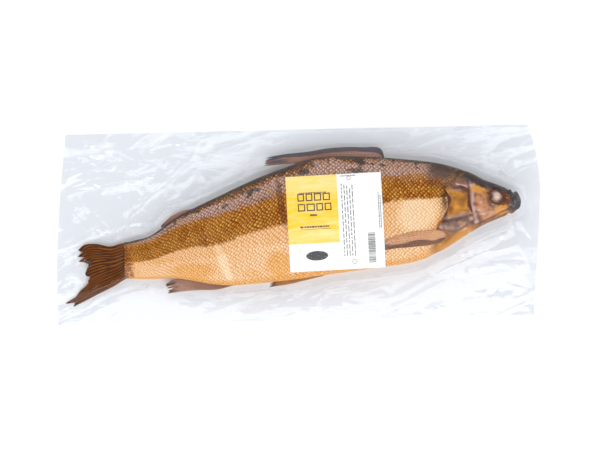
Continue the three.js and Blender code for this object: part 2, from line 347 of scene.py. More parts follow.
def on_skin(share, across, side, out=0.0):
    """Point on the flank: share of the length, -1 belly to 1 back, side 1 up or -1 down, out from the skin.
    The section is |y|^p + |z|^p = 1, its outward direction is the gradient of that, and the lower
    flank is pressed flat where it rests."""
    share, across, out = np.broadcast_arrays(share, across, out)
    x = along(share)
    middle, depth, thick, level = form_at(x)
    across = np.clip(across, -1.0, 1.0)
    height = (1 - np.abs(across) ** SECTION_POWER) ** (1 / SECTION_POWER)
    lean_y = np.sign(across) * np.abs(across) ** (SECTION_POWER - 1) / depth
    lean_z = height ** (SECTION_POWER - 1) / thick
    size = np.hypot(lean_y, lean_z) + 1e-9
    y = middle + depth * across + out * lean_y / size
    z = level + side * (thick * height + out * lean_z / size)
    soft = 0.6 * MM
    drop = z - REST_LEVEL + np.where(side < 0, np.minimum(out, 0.35 * MM), 0.0)
    rest = REST_LEVEL - np.minimum(out, 0.35 * MM)
    pressed = np.where(side < 0, rest, 0.0) + (drop + np.sqrt(drop * drop + soft * soft)) / 2
    return np.stack([x, y, pressed if side < 0 else z], -1)


def fish_level(x):
    """Height of the fish's middle plane, sinking past the tail and the snout to the surface."""
    level = form_at(x)[3]
    low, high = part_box("pouch_film_top")
    past_tail = np.clip((TAIL_ROOT - x) / (TAIL_ROOT - low[0]), 0, 1)
    past_snout = np.clip((x - SNOUT) / (high[0] - SNOUT), 0, 1)
    return level * (1 - 0.78 * past_tail) * (1 - 0.44 * past_snout)


def seam_level(x, y):
    """Height at which the two films meet: the fish's middle plane beside it, and a half cosine down
    to the surface at the long edges."""
    low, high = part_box("pouch_film_top")
    middle, depth = form_at(x)[:2]
    to_back = (y - middle - depth) / (high[1] - middle - depth)
    to_belly = (middle - depth - y) / (middle - depth - low[1])
    share = np.clip(np.maximum(to_back, to_belly), 0, 1)
    floor = 0.5 * MM
    return floor + (fish_level(x) - floor) * (1 + np.cos(math.pi * share)) / 2


# Rear edge of the gill cover: across, share of the length.
GILL_EDGE = np.array(
    [[-1.0, 0.79], [-0.74, 0.788], [-0.48, 0.783], [-0.34, 0.79], [-0.2, 0.81], [0, 0.816]]
    + [[0.2, 0.813], [0.5, 0.817], [0.62, 0.832], [0.8, 0.85], [1.0, 0.86]]
)
EYE = (0.938, 0.31)
SNOUT_ROUNDING = 0.984  # share of the length from which the snout is rounded off


def gill_edge(across):
    """Share of the length at which the gill cover ends."""
    return np.interp(across, GILL_EDGE[:, 0], GILL_EDGE[:, 1])


def spots(share, across, size, seed, tall=40):
    """Ripple laid over the skin in about its own millimetres."""
    return ripple(share * NOMINAL_LENGTH, across * tall, size, seed)


def from_eye(share, across):
    """Distance from the eye's middle over the head, in metres."""
    depth = form_at(along(share))[1]
    return np.hypot((share - EYE[0]) * BODY_LENGTH, (across - EYE[1]) * depth)


def head_relief(share, across):
    """Heights on the head and trunk: the step behind the gill cover, the cheek's ridge, the eye's
    socket, the jaw's groove and the nostrils, and the folds of the belly and the tail's root."""
    edge = share - gill_edge(across)
    flap = 0.75 * step(-0.001, 0.002, edge) * (1 - 0.5 * step(0.01, 0.06, edge))
    behind = -0.8 * hump(-0.004, 0.004, edge) * (np.abs(across) < 0.96)
    cheek_line = 0.873 + 0.012 * np.clip(-across, 0, 1)
    past_cheek = share - cheek_line
    ridge = 0.55 * hump(0, 0.0035, past_cheek) - 0.5 * hump(0.008, 0.004, past_cheek)
    ridge *= step(-0.85, -0.7, across) * step(0.55, 0.4, across)
    eye = from_eye(share, across) / MM
    socket = 0.9 * hump(8.4, 1.1, eye) - 1.1 * step(7.6, 6.2, eye)
    jaw_line = np.interp(share, [0.9, 0.93, 0.96, 1.0], [-0.86, -0.78, -0.6, -0.42])
    jaw = -0.9 * hump(0, 0.07, across - jaw_line) * step(0.905, 0.94, share)
    lip = 0.35 * hump(0.13, 0.08, across - jaw_line) * step(0.93, 0.96, share)
    nostril = -0.8 * hump(0.965, 0.003, share) * hump(0.5, 0.14, across)
    lump = step(0.966, 0.978, share) * (0.8 + 1.5 * spots(share, across, 7, 61, 22))
    lump += 2.2 * step(0.974, 0.992, share) - 0.9 * hump(0.968, 0.004, share)
    trunk = step(0, -0.01, edge)
    lateral = -0.18 * hump(0.06, 0.018, across) * trunk * step(0.01, 0.05, share)
    folds = 0.22 * ripple(share * 60, across * 26, 9, 5) * step(-0.7, -0.95, across) * trunk
    root = 0.3 * ripple(share * 140, across * 6, 5, 8) * step(0.06, 0.0, share)
    slack = 0.35 * ripple(share * 30, across * 5, 6, 11) * trunk
    head = flap + behind + ridge + socket + jaw + lip + nostril + lump
    return (head + lateral + folds + root + slack) * MM


def patch(share, across, centre, half, lean=0.0, blur_by=0.35):
    """Soft-edged ellipse of skin: 1 inside, 0 outside, leaning by a shift of the share per across."""
    rise = across - centre[1]
    reach = np.hypot((share - centre[0] - lean * rise) / half[0], rise / half[1])
    return step(1 + blur_by, 1 - blur_by, reach)


# Borders between tones, each as shares of the length and heights across.
# LIGHT_BORDER bounds the light lower flank, which carries a painted reflection of a soft light.
LIGHT_BORDER = ([0, 0.08, 0.2, 0.37, 0.55, 0.7, 0.8], [-0.1, -0.1, -0.05, 0.03, 0.13, 0.23, 0.25])
# SHEEN_FOOT and SHEEN_HEAD bound the band of painted sheen, a painted reflection of a soft light.
SHEEN_FOOT = ([0, 0.06, 0.24, 0.38, 0.55, 0.67, 0.8], [0.9, 0.79, 0.58, 0.52, 0.58, 0.68, 0.76])
SHEEN_HEAD = ([0, 0.06, 0.19, 0.31, 0.5, 0.67, 0.8], [0.95, 0.93, 0.86, 0.82, 0.92, 0.96, 0.98])
DARK_BORDER = ([0, 0.35, 0.5, 1], [0.88, 0.88, 0.925, 0.9])
CROWN_BORDER = ([0.8, 0.86, 0.9, 0.93, 0.955, 1], [0.98, 0.7, 0.62, 0.62, 0.6, 0.38])
JAW_CREASE = ([0.88, 0.93, 0.96, 1.0], [-0.9, -0.78, -0.6, -0.42])


def upper_tones(share, across, edge, wander, fine):
    """The band of painted sheen, a reflection of a soft light painted into the skin's colour, the deep tone
    above it, and the dark back with its blots and a painted shade line behind the gill cover.
    """
    foot = across - np.interp(share, *SHEEN_FOOT)
    head = across - np.interp(share, *SHEEN_HEAD)
    deep = step(-0.03, 0.03, head + 2.5 * wander)
    sheen = step(-0.02, 0.02, foot + wander) * step(0.03, -0.03, head + 2.5 * wander)
    sheen *= step(0.8, 0.77, share) * step(-1.2, -0.6, fine)
    dark = step(0, 0.07, across + wander - np.interp(share, *DARK_BORDER))
    # Painted shade: a dark line in the groove just behind the gill cover's rear edge.
    dark += 0.9 * hump(-0.005, 0.005, edge + 0.3 * wander) * step(-0.3, 0.1, across)
    dark += 0.85 * patch(share, across, (0.806, 0.86), (0.034, 0.2), 0.02)
    ragged = ripple(share * 60, across * 46, 6, 31) + 0.5 * ripple(share * 300, across * 60, 7, 32)
    dark += 0.85 * step(0.25, 0.5, ragged - 16 * np.abs(head + 0.03))
    blots = step(0.9, 1.2, ragged + 0.5 * spots(share, across, 40, 33))
    dark += 0.85 * blots * step(-0.05, 0.05, foot - 0.04)
    return sheen, deep, dark


def golden_patches(share, across, wander, wide, trunk):
    """Saturated gold: low patches, the belly's edge and the tail's root, and some of the head."""
    gold = patch(share, across, (0.17, -0.72), (0.055, 0.2), 0.05)
    gold += patch(share, across, (0.388, -0.68), (0.03, 0.24), -0.03)
    gold += step(-0.84, -0.97, across + wander) + 0.7 * step(0.05, 0.0, share)
    gold += patch(share, across, (0.8, -0.42), (0.012, 0.2), -0.03)
    gold += 0.5 * step(0.6, 1.3, wide) * step(0, -0.4, across)
    gold = np.clip(gold, 0, 1) * trunk
    gold += patch(share, across, (0.948, -0.5), (0.018, 0.34))
    gold += patch(share, across, (0.89, 0.5), (0.02, 0.16))
    return gold + 0.8 * patch(share, across, (0.83, -0.9), (0.05, 0.16))


def head_tones(share, across, wander, head):
    """The head's cheek, the char of crown and snout, painted shade in its creases with a few dark spots,
    and painted highlights along its bones and in blots.
    """
    cheek = patch(share, across, (0.902, -0.2), (0.017, 0.6), -0.02)
    cheek += 0.8 * patch(share, across, (0.9, 0.28), (0.014, 0.2))
    cheek += 0.7 * patch(share, across, (0.93, -0.62), (0.03, 0.2), 0.02)
    crown = across - np.interp(share, *CROWN_BORDER)
    char = step(0.969, 0.98, share + 0.4 * wander) + step(-0.05, 0.07, crown + 2 * wander) * head
    bow = 0.012 * np.clip(-across, 0, 1)
    jaw = across - np.interp(share, *JAW_CREASE)
    # Painted shade in the jaw, cheek and throat creases; the last term adds dark spots.
    crease = hump(0, 0.06, jaw) * step(0.88, 0.93, share)
    crease += hump(0, 0.0035, share - 0.866 - bow) * step(-0.95, -0.7, across)
    throat = hump(0, 0.07, across + 0.84 - 3.2 * (share - 0.8))
    crease += 0.8 * throat * step(0.79, 0.81, share) * step(0.9, 0.87, share)
    crease += 0.7 * step(0.5, 1.3, spots(share, across, 11, 38)) * step(-0.7, -0.2, across)
    # Painted highlights along the cheek bone and brow ridges, and in blots over the head.
    bar = hump(0, 0.0045, share - 0.876 - bow) * step(-0.9, -0.6, across) * step(0.55, 0.3, across)
    brow = hump(0, 0.06, across - 0.5 - 180 * (share - 0.85) ** 2)
    bar += 0.8 * brow * step(0.83, 0.84, share) * step(0.9, 0.88, share)
    bar += 0.85 * step(0.8, 1.3, spots(share, across, 8, 37)) * head
    return cheek, char, crease, bar


def skin_masks(share, across, side):
    """Where each tone of the smoked skin lies, and where light and shade are painted on it, 0 to 1,
    from the share of the length and the height across; the edges wander with ripples."""
    wide = spots(share, across, 30, 21, 50)
    fine = spots(share, across, 6, 22, 50)
    wander = wide * 0.014 + fine * 0.012
    edge = share - gill_edge(across)
    trunk = step(0.002, -0.004 - 0.03 * step(-0.7, -0.85, across), edge)
    head = 1 - trunk
    border = np.interp(share, *LIGHT_BORDER)
    # Light lower flank: paler skin carrying a painted reflection of a soft light.
    light = step(0.018, -0.018, across - border + wander + 0.02 * side) * trunk
    sheen, deep, dark = upper_tones(share, across, edge, wander, fine)
    cheek, char, crease, bar = head_tones(share, across, wander, head)
    # Painted shadow: a dark stripe down the flank beside the label's left edge.
    stain = 0.8 * patch(share, across, (0.397, 0.4), (0.008, 0.46), -0.02)
    stain += 0.75 * patch(share, across, (0.79, 0.75), (0.03, 0.3), 0.02)
    # Painted shade: a dark band on the skin just behind the gill cover's rear edge.
    stain += 0.5 * step(0.012, 0.004, np.abs(edge + 0.012)) * step(-0.3, 0.1, across)
    cream = patch(share, across, (0.735, -0.08), (0.05, 0.34))
    # Painted highlight: a pale stripe where a crease of the film catches the light.
    cream += patch(share, across, (0.25, -0.5), (0.012, 0.45), -0.04)
    masks = {
        "trunk": trunk,
        "light": light,
        "sheen": sheen * trunk,
        "deep": deep * trunk,
        "dark": np.clip(dark, 0, 1) * trunk,
        "root": step(0.03, 0.008, share + 0.009 * spots(share, across, 7, 71)),
        "ash": step(0.968, 0.98, share + 0.3 * wander),
        # stain: real stains on the trunk, the painted shadow beside the label, and painted shade behind the
        # gill cover and in the head's creases.
        "stain": stain * trunk + crease * head,
        "gold": golden_patches(share, across, wander, wide, trunk),
        "cream": np.clip(cream, 0, 1) * light,
        "cheek": np.clip(cheek, 0, 1) * head,
        # Painted shade: a dark ring round the eye's socket.
        "socket": step(11.5, 8.0, from_eye(share, across) / MM + 1.6 * fine) * head,
        "bar": np.clip(bar, 0, 1) * head,
        "char": char,
    }
    return {name: np.clip(mask, 0, 1) for name, mask in masks.items()}


# ---------------------------------------------------------------- node helpers


class Nodes:
    """A node tree with short calls: each adds a node, sets its inputs and returns an output."""

    def __init__(self, tree):
        self.tree = tree

    def add(self, kind, inputs=None, **settings):
        node = self.tree.nodes.new(kind)
        for name, value in settings.items():
            setattr(node, name, value)
        for key, value in (inputs or {}).items():
            self.put(node.inputs[key], value)
        return node

    def put(self, socket, value):
        if isinstance(value, bpy.types.NodeSocket):
            self.tree.links.new(value, socket)
        elif isinstance(socket.default_value, (int, float)) or isinstance(value, (int, float)):
            socket.default_value = value
        else:
            socket.default_value = (*value, 1.0)[: len(socket.default_value)]

    def math(self, operation, *values):
        inputs = dict(enumerate(values))
        return self.add("ShaderNodeMath", inputs, operation=operation).outputs[0]

    def times(self, a, b):
        return self.math("MULTIPLY", a, b)

    def split(self, vector):
        return self.add("ShaderNodeSeparateXYZ", {0: vector}).outputs

    def range(self, value, low, high, start=0.0, end=1.0):
        inputs = {"Value": value, "From Min": low, "From Max": high, "To Min": start, "To Max": end}
        return self.add("ShaderNodeMapRange", inputs, interpolation_type="SMOOTHSTEP").outputs[0]

    def mix(self, factor, a, b):
        node = self.add("ShaderNodeMix", data_type="RGBA")
        self.put(node.inputs["Factor"], factor)
        for socket, value in zip((s for s in node.inputs if s.type == "RGBA"), (a, b)):
            self.put(socket, value)
        return next(s for s in node.outputs if s.type == "RGBA")

    def mask(self, name):
        return self.add("ShaderNodeAttribute", attribute_name=name).outputs["Fac"]

    def place(self):
        return self.add("ShaderNodeTexCoord").outputs["Object"]

    def lay(self):
        return self.add("ShaderNodeUVMap", uv_map="Lay").outputs[0]

    def stretch(self, vector, scale):
        return self.add("ShaderNodeMapping", {"Vector": vector, "Scale": scale}).outputs[0]

    def noise(self, vector, scale, detail=3.0, roughness=0.55, distortion=0.0):
        inputs = {"Vector": vector, "Scale": scale, "Detail": detail}
        inputs |= {"Roughness": roughness, "Distortion": distortion}
        return self.add("ShaderNodeTexNoise", inputs).outputs["Fac"]

    def bump(self, height, distance, strength=1.0, normal=None):
        inputs = {"Height": height, "Distance": distance, "Strength": strength}
        if normal is not None:
            inputs["Normal"] = normal
        return self.add("ShaderNodeBump", inputs).outputs[0]

    def group(self, tree, **inputs):
        node = self.add("ShaderNodeGroup", node_tree=tree)
        for name, value in inputs.items():
            self.put(node.inputs[name], value)
        return node.outputs

    def mottle(self, coarse, fine):
        """Cloudy stains over the piece, with the two sizes of their noise."""
        tree = named_group("Mottle pattern", mottle_pattern)
        return self.group(tree, Vector=self.place(), Coarse=coarse, Fine=fine)

    def principled(self, inputs):
        return self.add("ShaderNodeBsdfPrincipled", inputs)


def new_group(name, inputs, outputs):
    """An empty shader group with named sockets: (name, kind, default) each."""
    tree = bpy.data.node_groups.new(name, "ShaderNodeTree")
    for label, kind, default in inputs:
        socket = tree.interface.new_socket(label, in_out="INPUT", socket_type=kind)
        if default is not None:
            socket.default_value = default
    for label, kind in outputs:
        tree.interface.new_socket(label, in_out="OUTPUT", socket_type=kind)
    nodes = Nodes(tree)
    return nodes, nodes.add("NodeGroupInput").outputs, nodes.add("NodeGroupOutput")


def named_group(name, build):
    """A shader group, built the first time it is asked for."""
    return bpy.data.node_groups.get(name) or build(name)


def scale_pattern(name):
    """Overlapping scales: cells on a lattice of offset rows. Height rises towards each scale's rear
    edge and falls off towards its sides, Rim marks the lines between scales, and Tone differs per scale."""
    nodes, given, result = new_group(
        name,
        [("Vector", "NodeSocketVector", None), ("Irregularity", "NodeSocketFloat", 0.3)],
        [("Height", "NodeSocketFloat"), ("Rim", "NodeSocketFloat"), ("Tone", "NodeSocketFloat")],
    )
    parts = nodes.split(given["Vector"])
    a = nodes.math("ADD", parts[0], parts[1])
    b = nodes.math("SUBTRACT", parts[0], parts[1])
    diagonal = nodes.add("ShaderNodeCombineXYZ", {0: a, 1: b}).outputs[0]
    shared = {"Vector": diagonal, "Scale": 1.0, "Randomness": given["Irregularity"]}
    cell = nodes.add("ShaderNodeTexVoronoi", shared, voronoi_dimensions="2D").outputs
    rim = nodes.add("ShaderNodeTexVoronoi", shared, voronoi_dimensions="2D", feature="DISTANCE_TO_EDGE")
    centre = nodes.split(cell["Position"])
    off_a = nodes.math("SUBTRACT", a, centre[0])
    off_b = nodes.math("SUBTRACT", b, centre[1])
    forward = nodes.times(nodes.math("ADD", off_a, off_b), 0.5)
    sideways = nodes.times(nodes.math("SUBTRACT", off_a, off_b), 0.5)
    bow = nodes.times(nodes.times(sideways, sideways), 1.6)
    rise = nodes.math("SUBTRACT", nodes.math("SUBTRACT", 0.5, forward), bow)
    nodes.put(result.inputs["Height"], rise)
    nodes.put(result.inputs["Rim"], nodes.range(rim.outputs["Distance"], 0.02, 0.16, 1.0, 0.0))
    tone = nodes.add("ShaderNodeSeparateColor", {0: cell["Color"]}).outputs[0]
    nodes.put(result.inputs["Tone"], tone)
    return nodes.tree


def mottle_pattern(name):
    """Cloudy stains: coarse and fine noise added, and their fine part for bumps."""
    nodes, given, result = new_group(
        name,
        [
            ("Vector", "NodeSocketVector", None),
            ("Coarse", "NodeSocketFloat", 60.0),
            ("Fine", "NodeSocketFloat", 700.0),
        ],
        [("Stain", "NodeSocketFloat"), ("Grain", "NodeSocketFloat")],
    )
    coarse = nodes.noise(given["Vector"], given["Coarse"], 4.0)
    fine = nodes.noise(given["Vector"], given["Fine"], 2.0)
    stain = nodes.math("ADD", nodes.times(coarse, 0.75), nodes.times(fine, 0.25))
    nodes.put(result.inputs["Stain"], nodes.range(stain, 0.36, 0.64))
    nodes.put(result.inputs["Grain"], fine)
    return nodes.tree


def ray_pattern(name):
    """Fin rays: stripes across the second coordinate that fork towards the tips, with fine joints
    along the first."""
    nodes, given, result = new_group(
        name,
        [("Vector", "NodeSocketVector", None), ("Rays", "NodeSocketFloat", 20.0)],
        [("Ray", "NodeSocketFloat"), ("Joint", "NodeSocketFloat")],
    )
    parts = nodes.split(given["Vector"])
    warp = nodes.times(nodes.noise(given["Vector"], 7.0, 2.0), 0.012)
    turn = nodes.times(nodes.math("ADD", parts[1], warp), given["Rays"])
    single = nodes.math("COSINE", nodes.times(turn, 2 * math.pi))
    double = nodes.math("COSINE", nodes.times(turn, 4 * math.pi))
    forked = nodes.range(parts[0], 0.35, 0.75)
    whole = nodes.times(single, nodes.math("SUBTRACT", 1.0, forked))
    stripe = nodes.math("ADD", whole, nodes.times(double, forked))
    nodes.put(result.inputs["Ray"], nodes.range(stripe, -0.7, 0.8))
    joints = nodes.math("SINE", nodes.times(parts[0], 220.0))
    nodes.put(result.inputs["Joint"], nodes.range(joints, 0.5, 1.0))
    return nodes.tree


def new_material(name):
    """An empty material and its nodes."""
    material = bpy.data.materials.new(name)
    material.use_nodes = True
    material.node_tree.nodes.clear()
    nodes = Nodes(material.node_tree)
    return material, nodes


def finish_material(material, nodes, shader):
    """Joins the shader to the material's surface."""
    output = nodes.add("ShaderNodeOutputMaterial")
    nodes.tree.links.new(shader.outputs[0], output.inputs["Surface"])
    return material


# ---------------------------------------------------------------- materials


def upper_colour(n, tone, stain, pocket_shade, glint):
    """Dark gold above the mid flank, deeper towards the back, and the band of painted sheen over it, a
    painted reflection of a soft light.
    """
    deep = n.times(n.mask("deep"), n.range(stain, 0.2, 0.8, 0.55, 0.95))
    upper = n.mix(n.times(stain, 0.5), tone.flank, tone.gold)
    upper = n.mix(deep, upper, tone.flank_dark)
    upper = n.mix(n.times(pocket_shade, 0.85), upper, tone.flank_dark)
    upper = n.mix(n.times(glint, 0.8), upper, tone.glint)
    # The band of painted sheen: a reflection of a soft light painted into the colour.
    band = n.mix(n.times(stain, 0.35), tone.sheen, tone.flank)
    band = n.mix(n.times(pocket_shade, 0.8), band, tone.flank_dark)
    band = n.mix(n.times(glint, 0.6), band, tone.mauve)
    return n.mix(n.times(n.mask("sheen"), 0.92), upper, band)


def lower_colour(n, tone, stain, pocket_shade, glint):
    """Light pinkish gold that carries a painted reflection of a soft light, with a cream patch, a painted
    highlight stripe, golden blots and painted glints; its scales show less in the cream.
    """
    cream = n.mask("cream")
    lower = n.mix(cream, tone.light, tone.cream)
    lower = n.mix(n.times(stain, 0.2), lower, tone.gold)
    lower = n.mix(n.times(n.mask("gold"), 0.8), lower, tone.gold)
    lower = n.mix(n.times(pocket_shade, n.range(cream, 0.0, 1.0, 0.66, 0.4)), lower, tone.flank)
    return n.mix(n.times(glint, 0.55), lower, tone.cream)


def head_colour(n, tone, stain):
    """Brown skin with its golden patches and pale cheek, painted highlights along the bones, and painted
    shade round the socket and in the creases.
    """
    head = n.mix(n.times(stain, 0.75), tone.head, tone.gill_shade)
    # bar lays painted highlights, socket painted shade round the eye, and stain painted shade in the
    # creases.
    for mask, strength, shade in (
        ("gold", 0.9, tone.gill),
        ("cheek", n.range(stain, 0.2, 1.0, 0.95, 0.35), tone.cheek),
        ("bar", 0.75, tone.mauve),
        ("socket", 0.85, tone.gill_shade),
        ("stain", 0.8, tone.gill_shade),
    ):
        head = n.mix(n.times(n.mask(mask), strength), head, shade)
    return head


def skin_material():
    """Smoked skin: tones by region with painted reflections on the sheen band and lower flank, scales with
    painted shade in their pockets and painted glints on their free edges, stains, painted shade and shadow,
    and an oily gloss."""
    tone = colours()
    material, n = new_material("Smoked skin")
    pattern = named_group("Scale pattern", scale_pattern)
    scales = n.group(pattern, Vector=n.lay(), Irregularity=SCALE_IRREGULARITY)
    mottle = n.mottle(70.0, 900.0)
    stain, trunk, root = mottle["Stain"], n.mask("trunk"), n.mask("root")
    # Painted shade: darker where each scale sinks under the next one's free edge and along the lines
    # between scales.
    pocket_shade = n.range(scales["Height"], 0.15, 0.6, 1.0, 0.0)
    pocket_shade = n.times(n.math("MAXIMUM", pocket_shade, n.times(scales["Rim"], 0.8)), trunk)
    # Painted glints: highlights painted on the raised free edge of each scale.
    free_edge = n.range(scales["Height"], 0.5, 0.85)
    glint = n.times(free_edge, n.range(scales["Tone"], 0.25, 0.75, 0.1, 1.0))
    glint = n.times(n.times(glint, trunk), n.math("SUBTRACT", 1.0, scales["Rim"]))
    upper = upper_colour(n, tone, stain, pocket_shade, glint)
    lower = lower_colour(n, tone, stain, pocket_shade, glint)
    # The light lower flank, with its painted reflection of a soft light.
    flank = n.mix(n.mask("light"), upper, lower)
    # The stain mask lays real stains together with painted shadow and painted shade.
    flank = n.mix(n.times(n.mask("stain"), 0.75), flank, tone.gill_shade)
    base = n.mix(trunk, head_colour(n, tone, stain), flank)
    for strength, shade in (
        (n.times(root, 0.8), tone.fin_ray),
        (n.times(n.times(root, root), pocket_shade), tone.fin),
        (n.times(n.mask("dark"), 0.9), tone.back),
        (n.times(n.mask("char"), 0.94), tone.char),
        (n.times(n.mask("ash"), n.range(stain, 0.0, 1.0, 0.3, 0.9)), tone.fin_grey),
    ):
        base = n.mix(strength, base, shade)
    normal = n.bump(n.times(scales["Height"], trunk), sizes().scale_relief, 0.8)
    normal = n.bump(mottle["Grain"], 0.12 * MM, 0.5, normal)
    rough = n.range(stain, 0.0, 1.0, 0.26, 0.42)
    inputs = {"Base Color": base, "Roughness": rough, "Normal": normal, "Specular IOR Level": 0.22}
    return finish_material(material, n, n.principled(inputs))


def gill_material():
    """Gill cover: a golden bony plate with a red-brown rim, growth lines, stains and painted highlights
    along its ridges.
    """
    tone = colours()
    material, n = new_material("Gill cover")
    mottle = n.mottle(110.0, 900.0)
    lines = n.split(n.lay())
    warp = n.times(n.noise(n.place(), 90.0, 2.0), 0.12)
    growth = n.math("SINE", n.times(n.math("ADD", lines[0], warp), 70.0))
    base = n.mix(n.mask("golden"), tone.gill_shade, tone.gill)
    base = n.mix(n.times(n.mask("silver"), 0.45), base, tone.mauve)
    base = n.mix(n.times(mottle["Stain"], 0.6), base, tone.gill_shade)
    height = n.math("ADD", n.times(growth, 0.3), mottle["Stain"])
    inputs = {"Base Color": base, "Roughness": n.range(mottle["Stain"], 0.0, 1.0, 0.2, 0.38)}
    inputs |= {"Normal": n.bump(height, 0.15 * MM, 0.6), "Coat Weight": 0.1, "Coat Roughness": 0.15}
    return finish_material(material, n, n.principled(inputs))


def fin_material(name, rays, web, ray, tip):
    """Dried fin: web between jointed, forking rays. Its fleshy root takes the rays' colour and its
    frayed tip has a colour of its own."""
    tone = colours()
    material, n = new_material(name)
    forking = named_group("Ray pattern", ray_pattern)
    pattern = n.group(forking, Vector=n.lay(), Rays=float(rays))
    mottle = n.mottle(130.0, 1100.0)
    reach = n.split(n.lay())[0]
    fleshy = n.times(n.range(reach, 0.05, 0.6, 0.75, 0.1), mottle["Stain"])
    base = n.mix(n.math("MAXIMUM", n.times(pattern["Ray"], 0.62), fleshy), web, ray)
    base = n.mix(n.times(pattern["Joint"], 0.25), base, tone.back)
    base = n.mix(n.times(mottle["Stain"], 0.5), base, web)
    base = n.mix(n.mask("tip"), base, tip)
    height = n.math("ADD", pattern["Ray"], n.times(mottle["Grain"], 0.4))
    inputs = {"Base Color": base, "Roughness": n.range(mottle["Stain"], 0.0, 1.0, 0.38, 0.6)}
    inputs |= {"Normal": n.bump(height, 0.25 * MM, 0.7), "Specular IOR Level": 0.15}
    return finish_material(material, n, n.principled(inputs))


def eye_material():
    """Cooked eye: a clouded lens inside a brown ring, with cream clouds of painted highlight on the lens.
    """
    tone = colours()
    material, n = new_material("Clouded eye")
    radius = n.split(n.lay())[0]
    cloud = n.noise(n.place(), 300.0, 3.0)
    wander = n.math("ADD", radius, n.times(n.math("SUBTRACT", cloud, 0.5), 0.35))
    base = n.mix(n.range(wander, 0.2, 0.5), tone.mauve, tone.eye)
    # Painted highlights: cream clouds over the lens.
    base = n.mix(n.times(n.range(cloud, 0.5, 0.62), 0.45), base, tone.cream)
    base = n.mix(n.range(wander, 0.5, 0.72), base, tone.iris)
    inputs = {"Base Color": base, "Roughness": n.range(cloud, 0.3, 0.7, 0.08, 0.25)}
    inputs |= {"Normal": n.bump(cloud, 0.2 * MM, 0.5), "Coat Weight": 0.6, "Coat Roughness": 0.05}
    return finish_material(material, n, n.principled(inputs))


def film_material():
    """Clear film: mostly see-through, glossy by Fresnel, and with fine creases that turn its normal.
    Where it is loose it has a cool tint; where it clings it is clearer, smoother and reflects less."""
    tone = colours()
    material, n = new_material("Vacuum film")
    turned = n.add("ShaderNodeMapping", {"Vector": n.place(), "Rotation": (0.0, 0.0, -0.35)}).outputs[0]
    wide = n.noise(n.stretch(turned, (8.0, 24.0, 14.0)), 1.0, 1.0, 0.5, 0.9)
    narrow = n.noise(n.stretch(turned, (26.0, 48.0, 30.0)), 1.0, 1.0, 0.5, 1.2)
    folds = n.math("ABSOLUTE", n.math("SUBTRACT", wide, 0.5))
    crinkles = n.math("ABSOLUTE", n.math("SUBTRACT", narrow, 0.5))
    height = n.math("ADD", folds, n.times(crinkles, 0.2))
    loose = n.mask("loose")
    normal = n.bump(height, 9 * MM, n.range(loose, 0.0, 1.0, 0.06, 1.0))
    behind = n.add("ShaderNodeNewGeometry").outputs["Backfacing"]
    density = n.math("ADD", FILM_IOR, n.times(behind, 1 / FILM_IOR - FILM_IOR))
    fresnel = n.add("ShaderNodeFresnel", {"IOR": density, "Normal": normal}).outputs[0]
    unshaded = n.math("SUBTRACT", 1.0, n.add("ShaderNodeLightPath").outputs["Is Shadow Ray"])
    wetted = n.range(loose, 0.0, 1.0, 0.42, 1.0)
    shine = n.times(n.times(fresnel, wetted), unshaded)
    tint = n.mix(loose, tone.taut_film, tone.film)
    clear = n.add("ShaderNodeBsdfTransparent", {"Color": tint})
    inputs = {"Base Color": (0.96, 0.97, 1.0), "Roughness": 0.11, "Normal": normal, "Metallic": 1.0}
    gloss = n.principled(inputs)
    mixed = n.add("ShaderNodeMixShader", {0: shine, 1: clear.outputs[0], 2: gloss.outputs[0]})
    return finish_material(material, n, mixed)


def label_material():
    """Satin paper, with a panel of yellow washes on its left whose pale and strong bands have
    brushed edges."""
    tone = colours()
    material, n = new_material("Label paper")
    lay = n.lay()
    parts = n.split(lay)
    brushed = n.range(n.noise(n.stretch(lay, (2.2, 11.0, 1.0)), 1.8, 5.0, 0.6, 0.5), 0.36, 0.62)
    blots = n.noise(lay, 5.0, 5.0, 0.6, 0.6)
    inside = n.times(n.math("LESS_THAN", parts[0], 0.535), n.math("GREATER_THAN", parts[1], 0.29))
    edge = n.math("ADD", parts[1], n.times(n.math("SUBTRACT", brushed, 0.5), 0.09))
    band = n.times(n.range(edge, 0.46, 0.475), n.range(edge, 0.83, 0.815))
    foot = n.range(edge, 0.33, 0.3)
    strength = n.math("MAXIMUM", band, foot)
    strength = n.math("ADD", n.times(strength, 0.5), n.times(brushed, 0.42))
    wash = n.mix(n.range(blots, 0.3, 0.7, 0.0, 0.35), tone.wash, tone.cream)
    panel = n.mix(strength, wash, tone.strong_wash)
    base = n.mix(inside, tone.paper, panel)
    fibre = n.noise(n.place(), 1500.0, 2.0)
    inputs = {"Base Color": base, "Roughness": n.range(fibre, 0.3, 0.7, 0.42, 0.55)}
    inputs |= {"Normal": n.bump(fibre, 0.03 * MM, 0.3), "Specular IOR Level": 0.35}
    return finish_material(material, n, n.principled(inputs))


def ink_material():
    """Print: near-black ink, slightly worn where the paper's fibres show through."""
    tone = colours()
    material, n = new_material("Label ink")
    wear = n.noise(n.place(), 900.0, 2.0)
    base = n.mix(n.range(wear, 0.55, 0.8, 0.0, 0.35), tone.ink, tone.paper)
    inputs = {"Base Color": base, "Roughness": 0.5}
    return finish_material(material, n, n.principled(inputs))


def floor_material():
    """Matt pale floor with a trace of unevenness."""
    tone = colours()
    material, n = new_material("Studio floor")
    uneven = n.noise(n.place(), 3.0, 2.0)
    base = n.mix(n.times(uneven, 0.03), tone.floor, tone.paper)
    inputs = {"Base Color": base, "Roughness": 0.9, "Specular IOR Level": 0.1}
    return finish_material(material, n, n.principled(inputs))


# ---------------------------------------------------------------- the fish's pieces


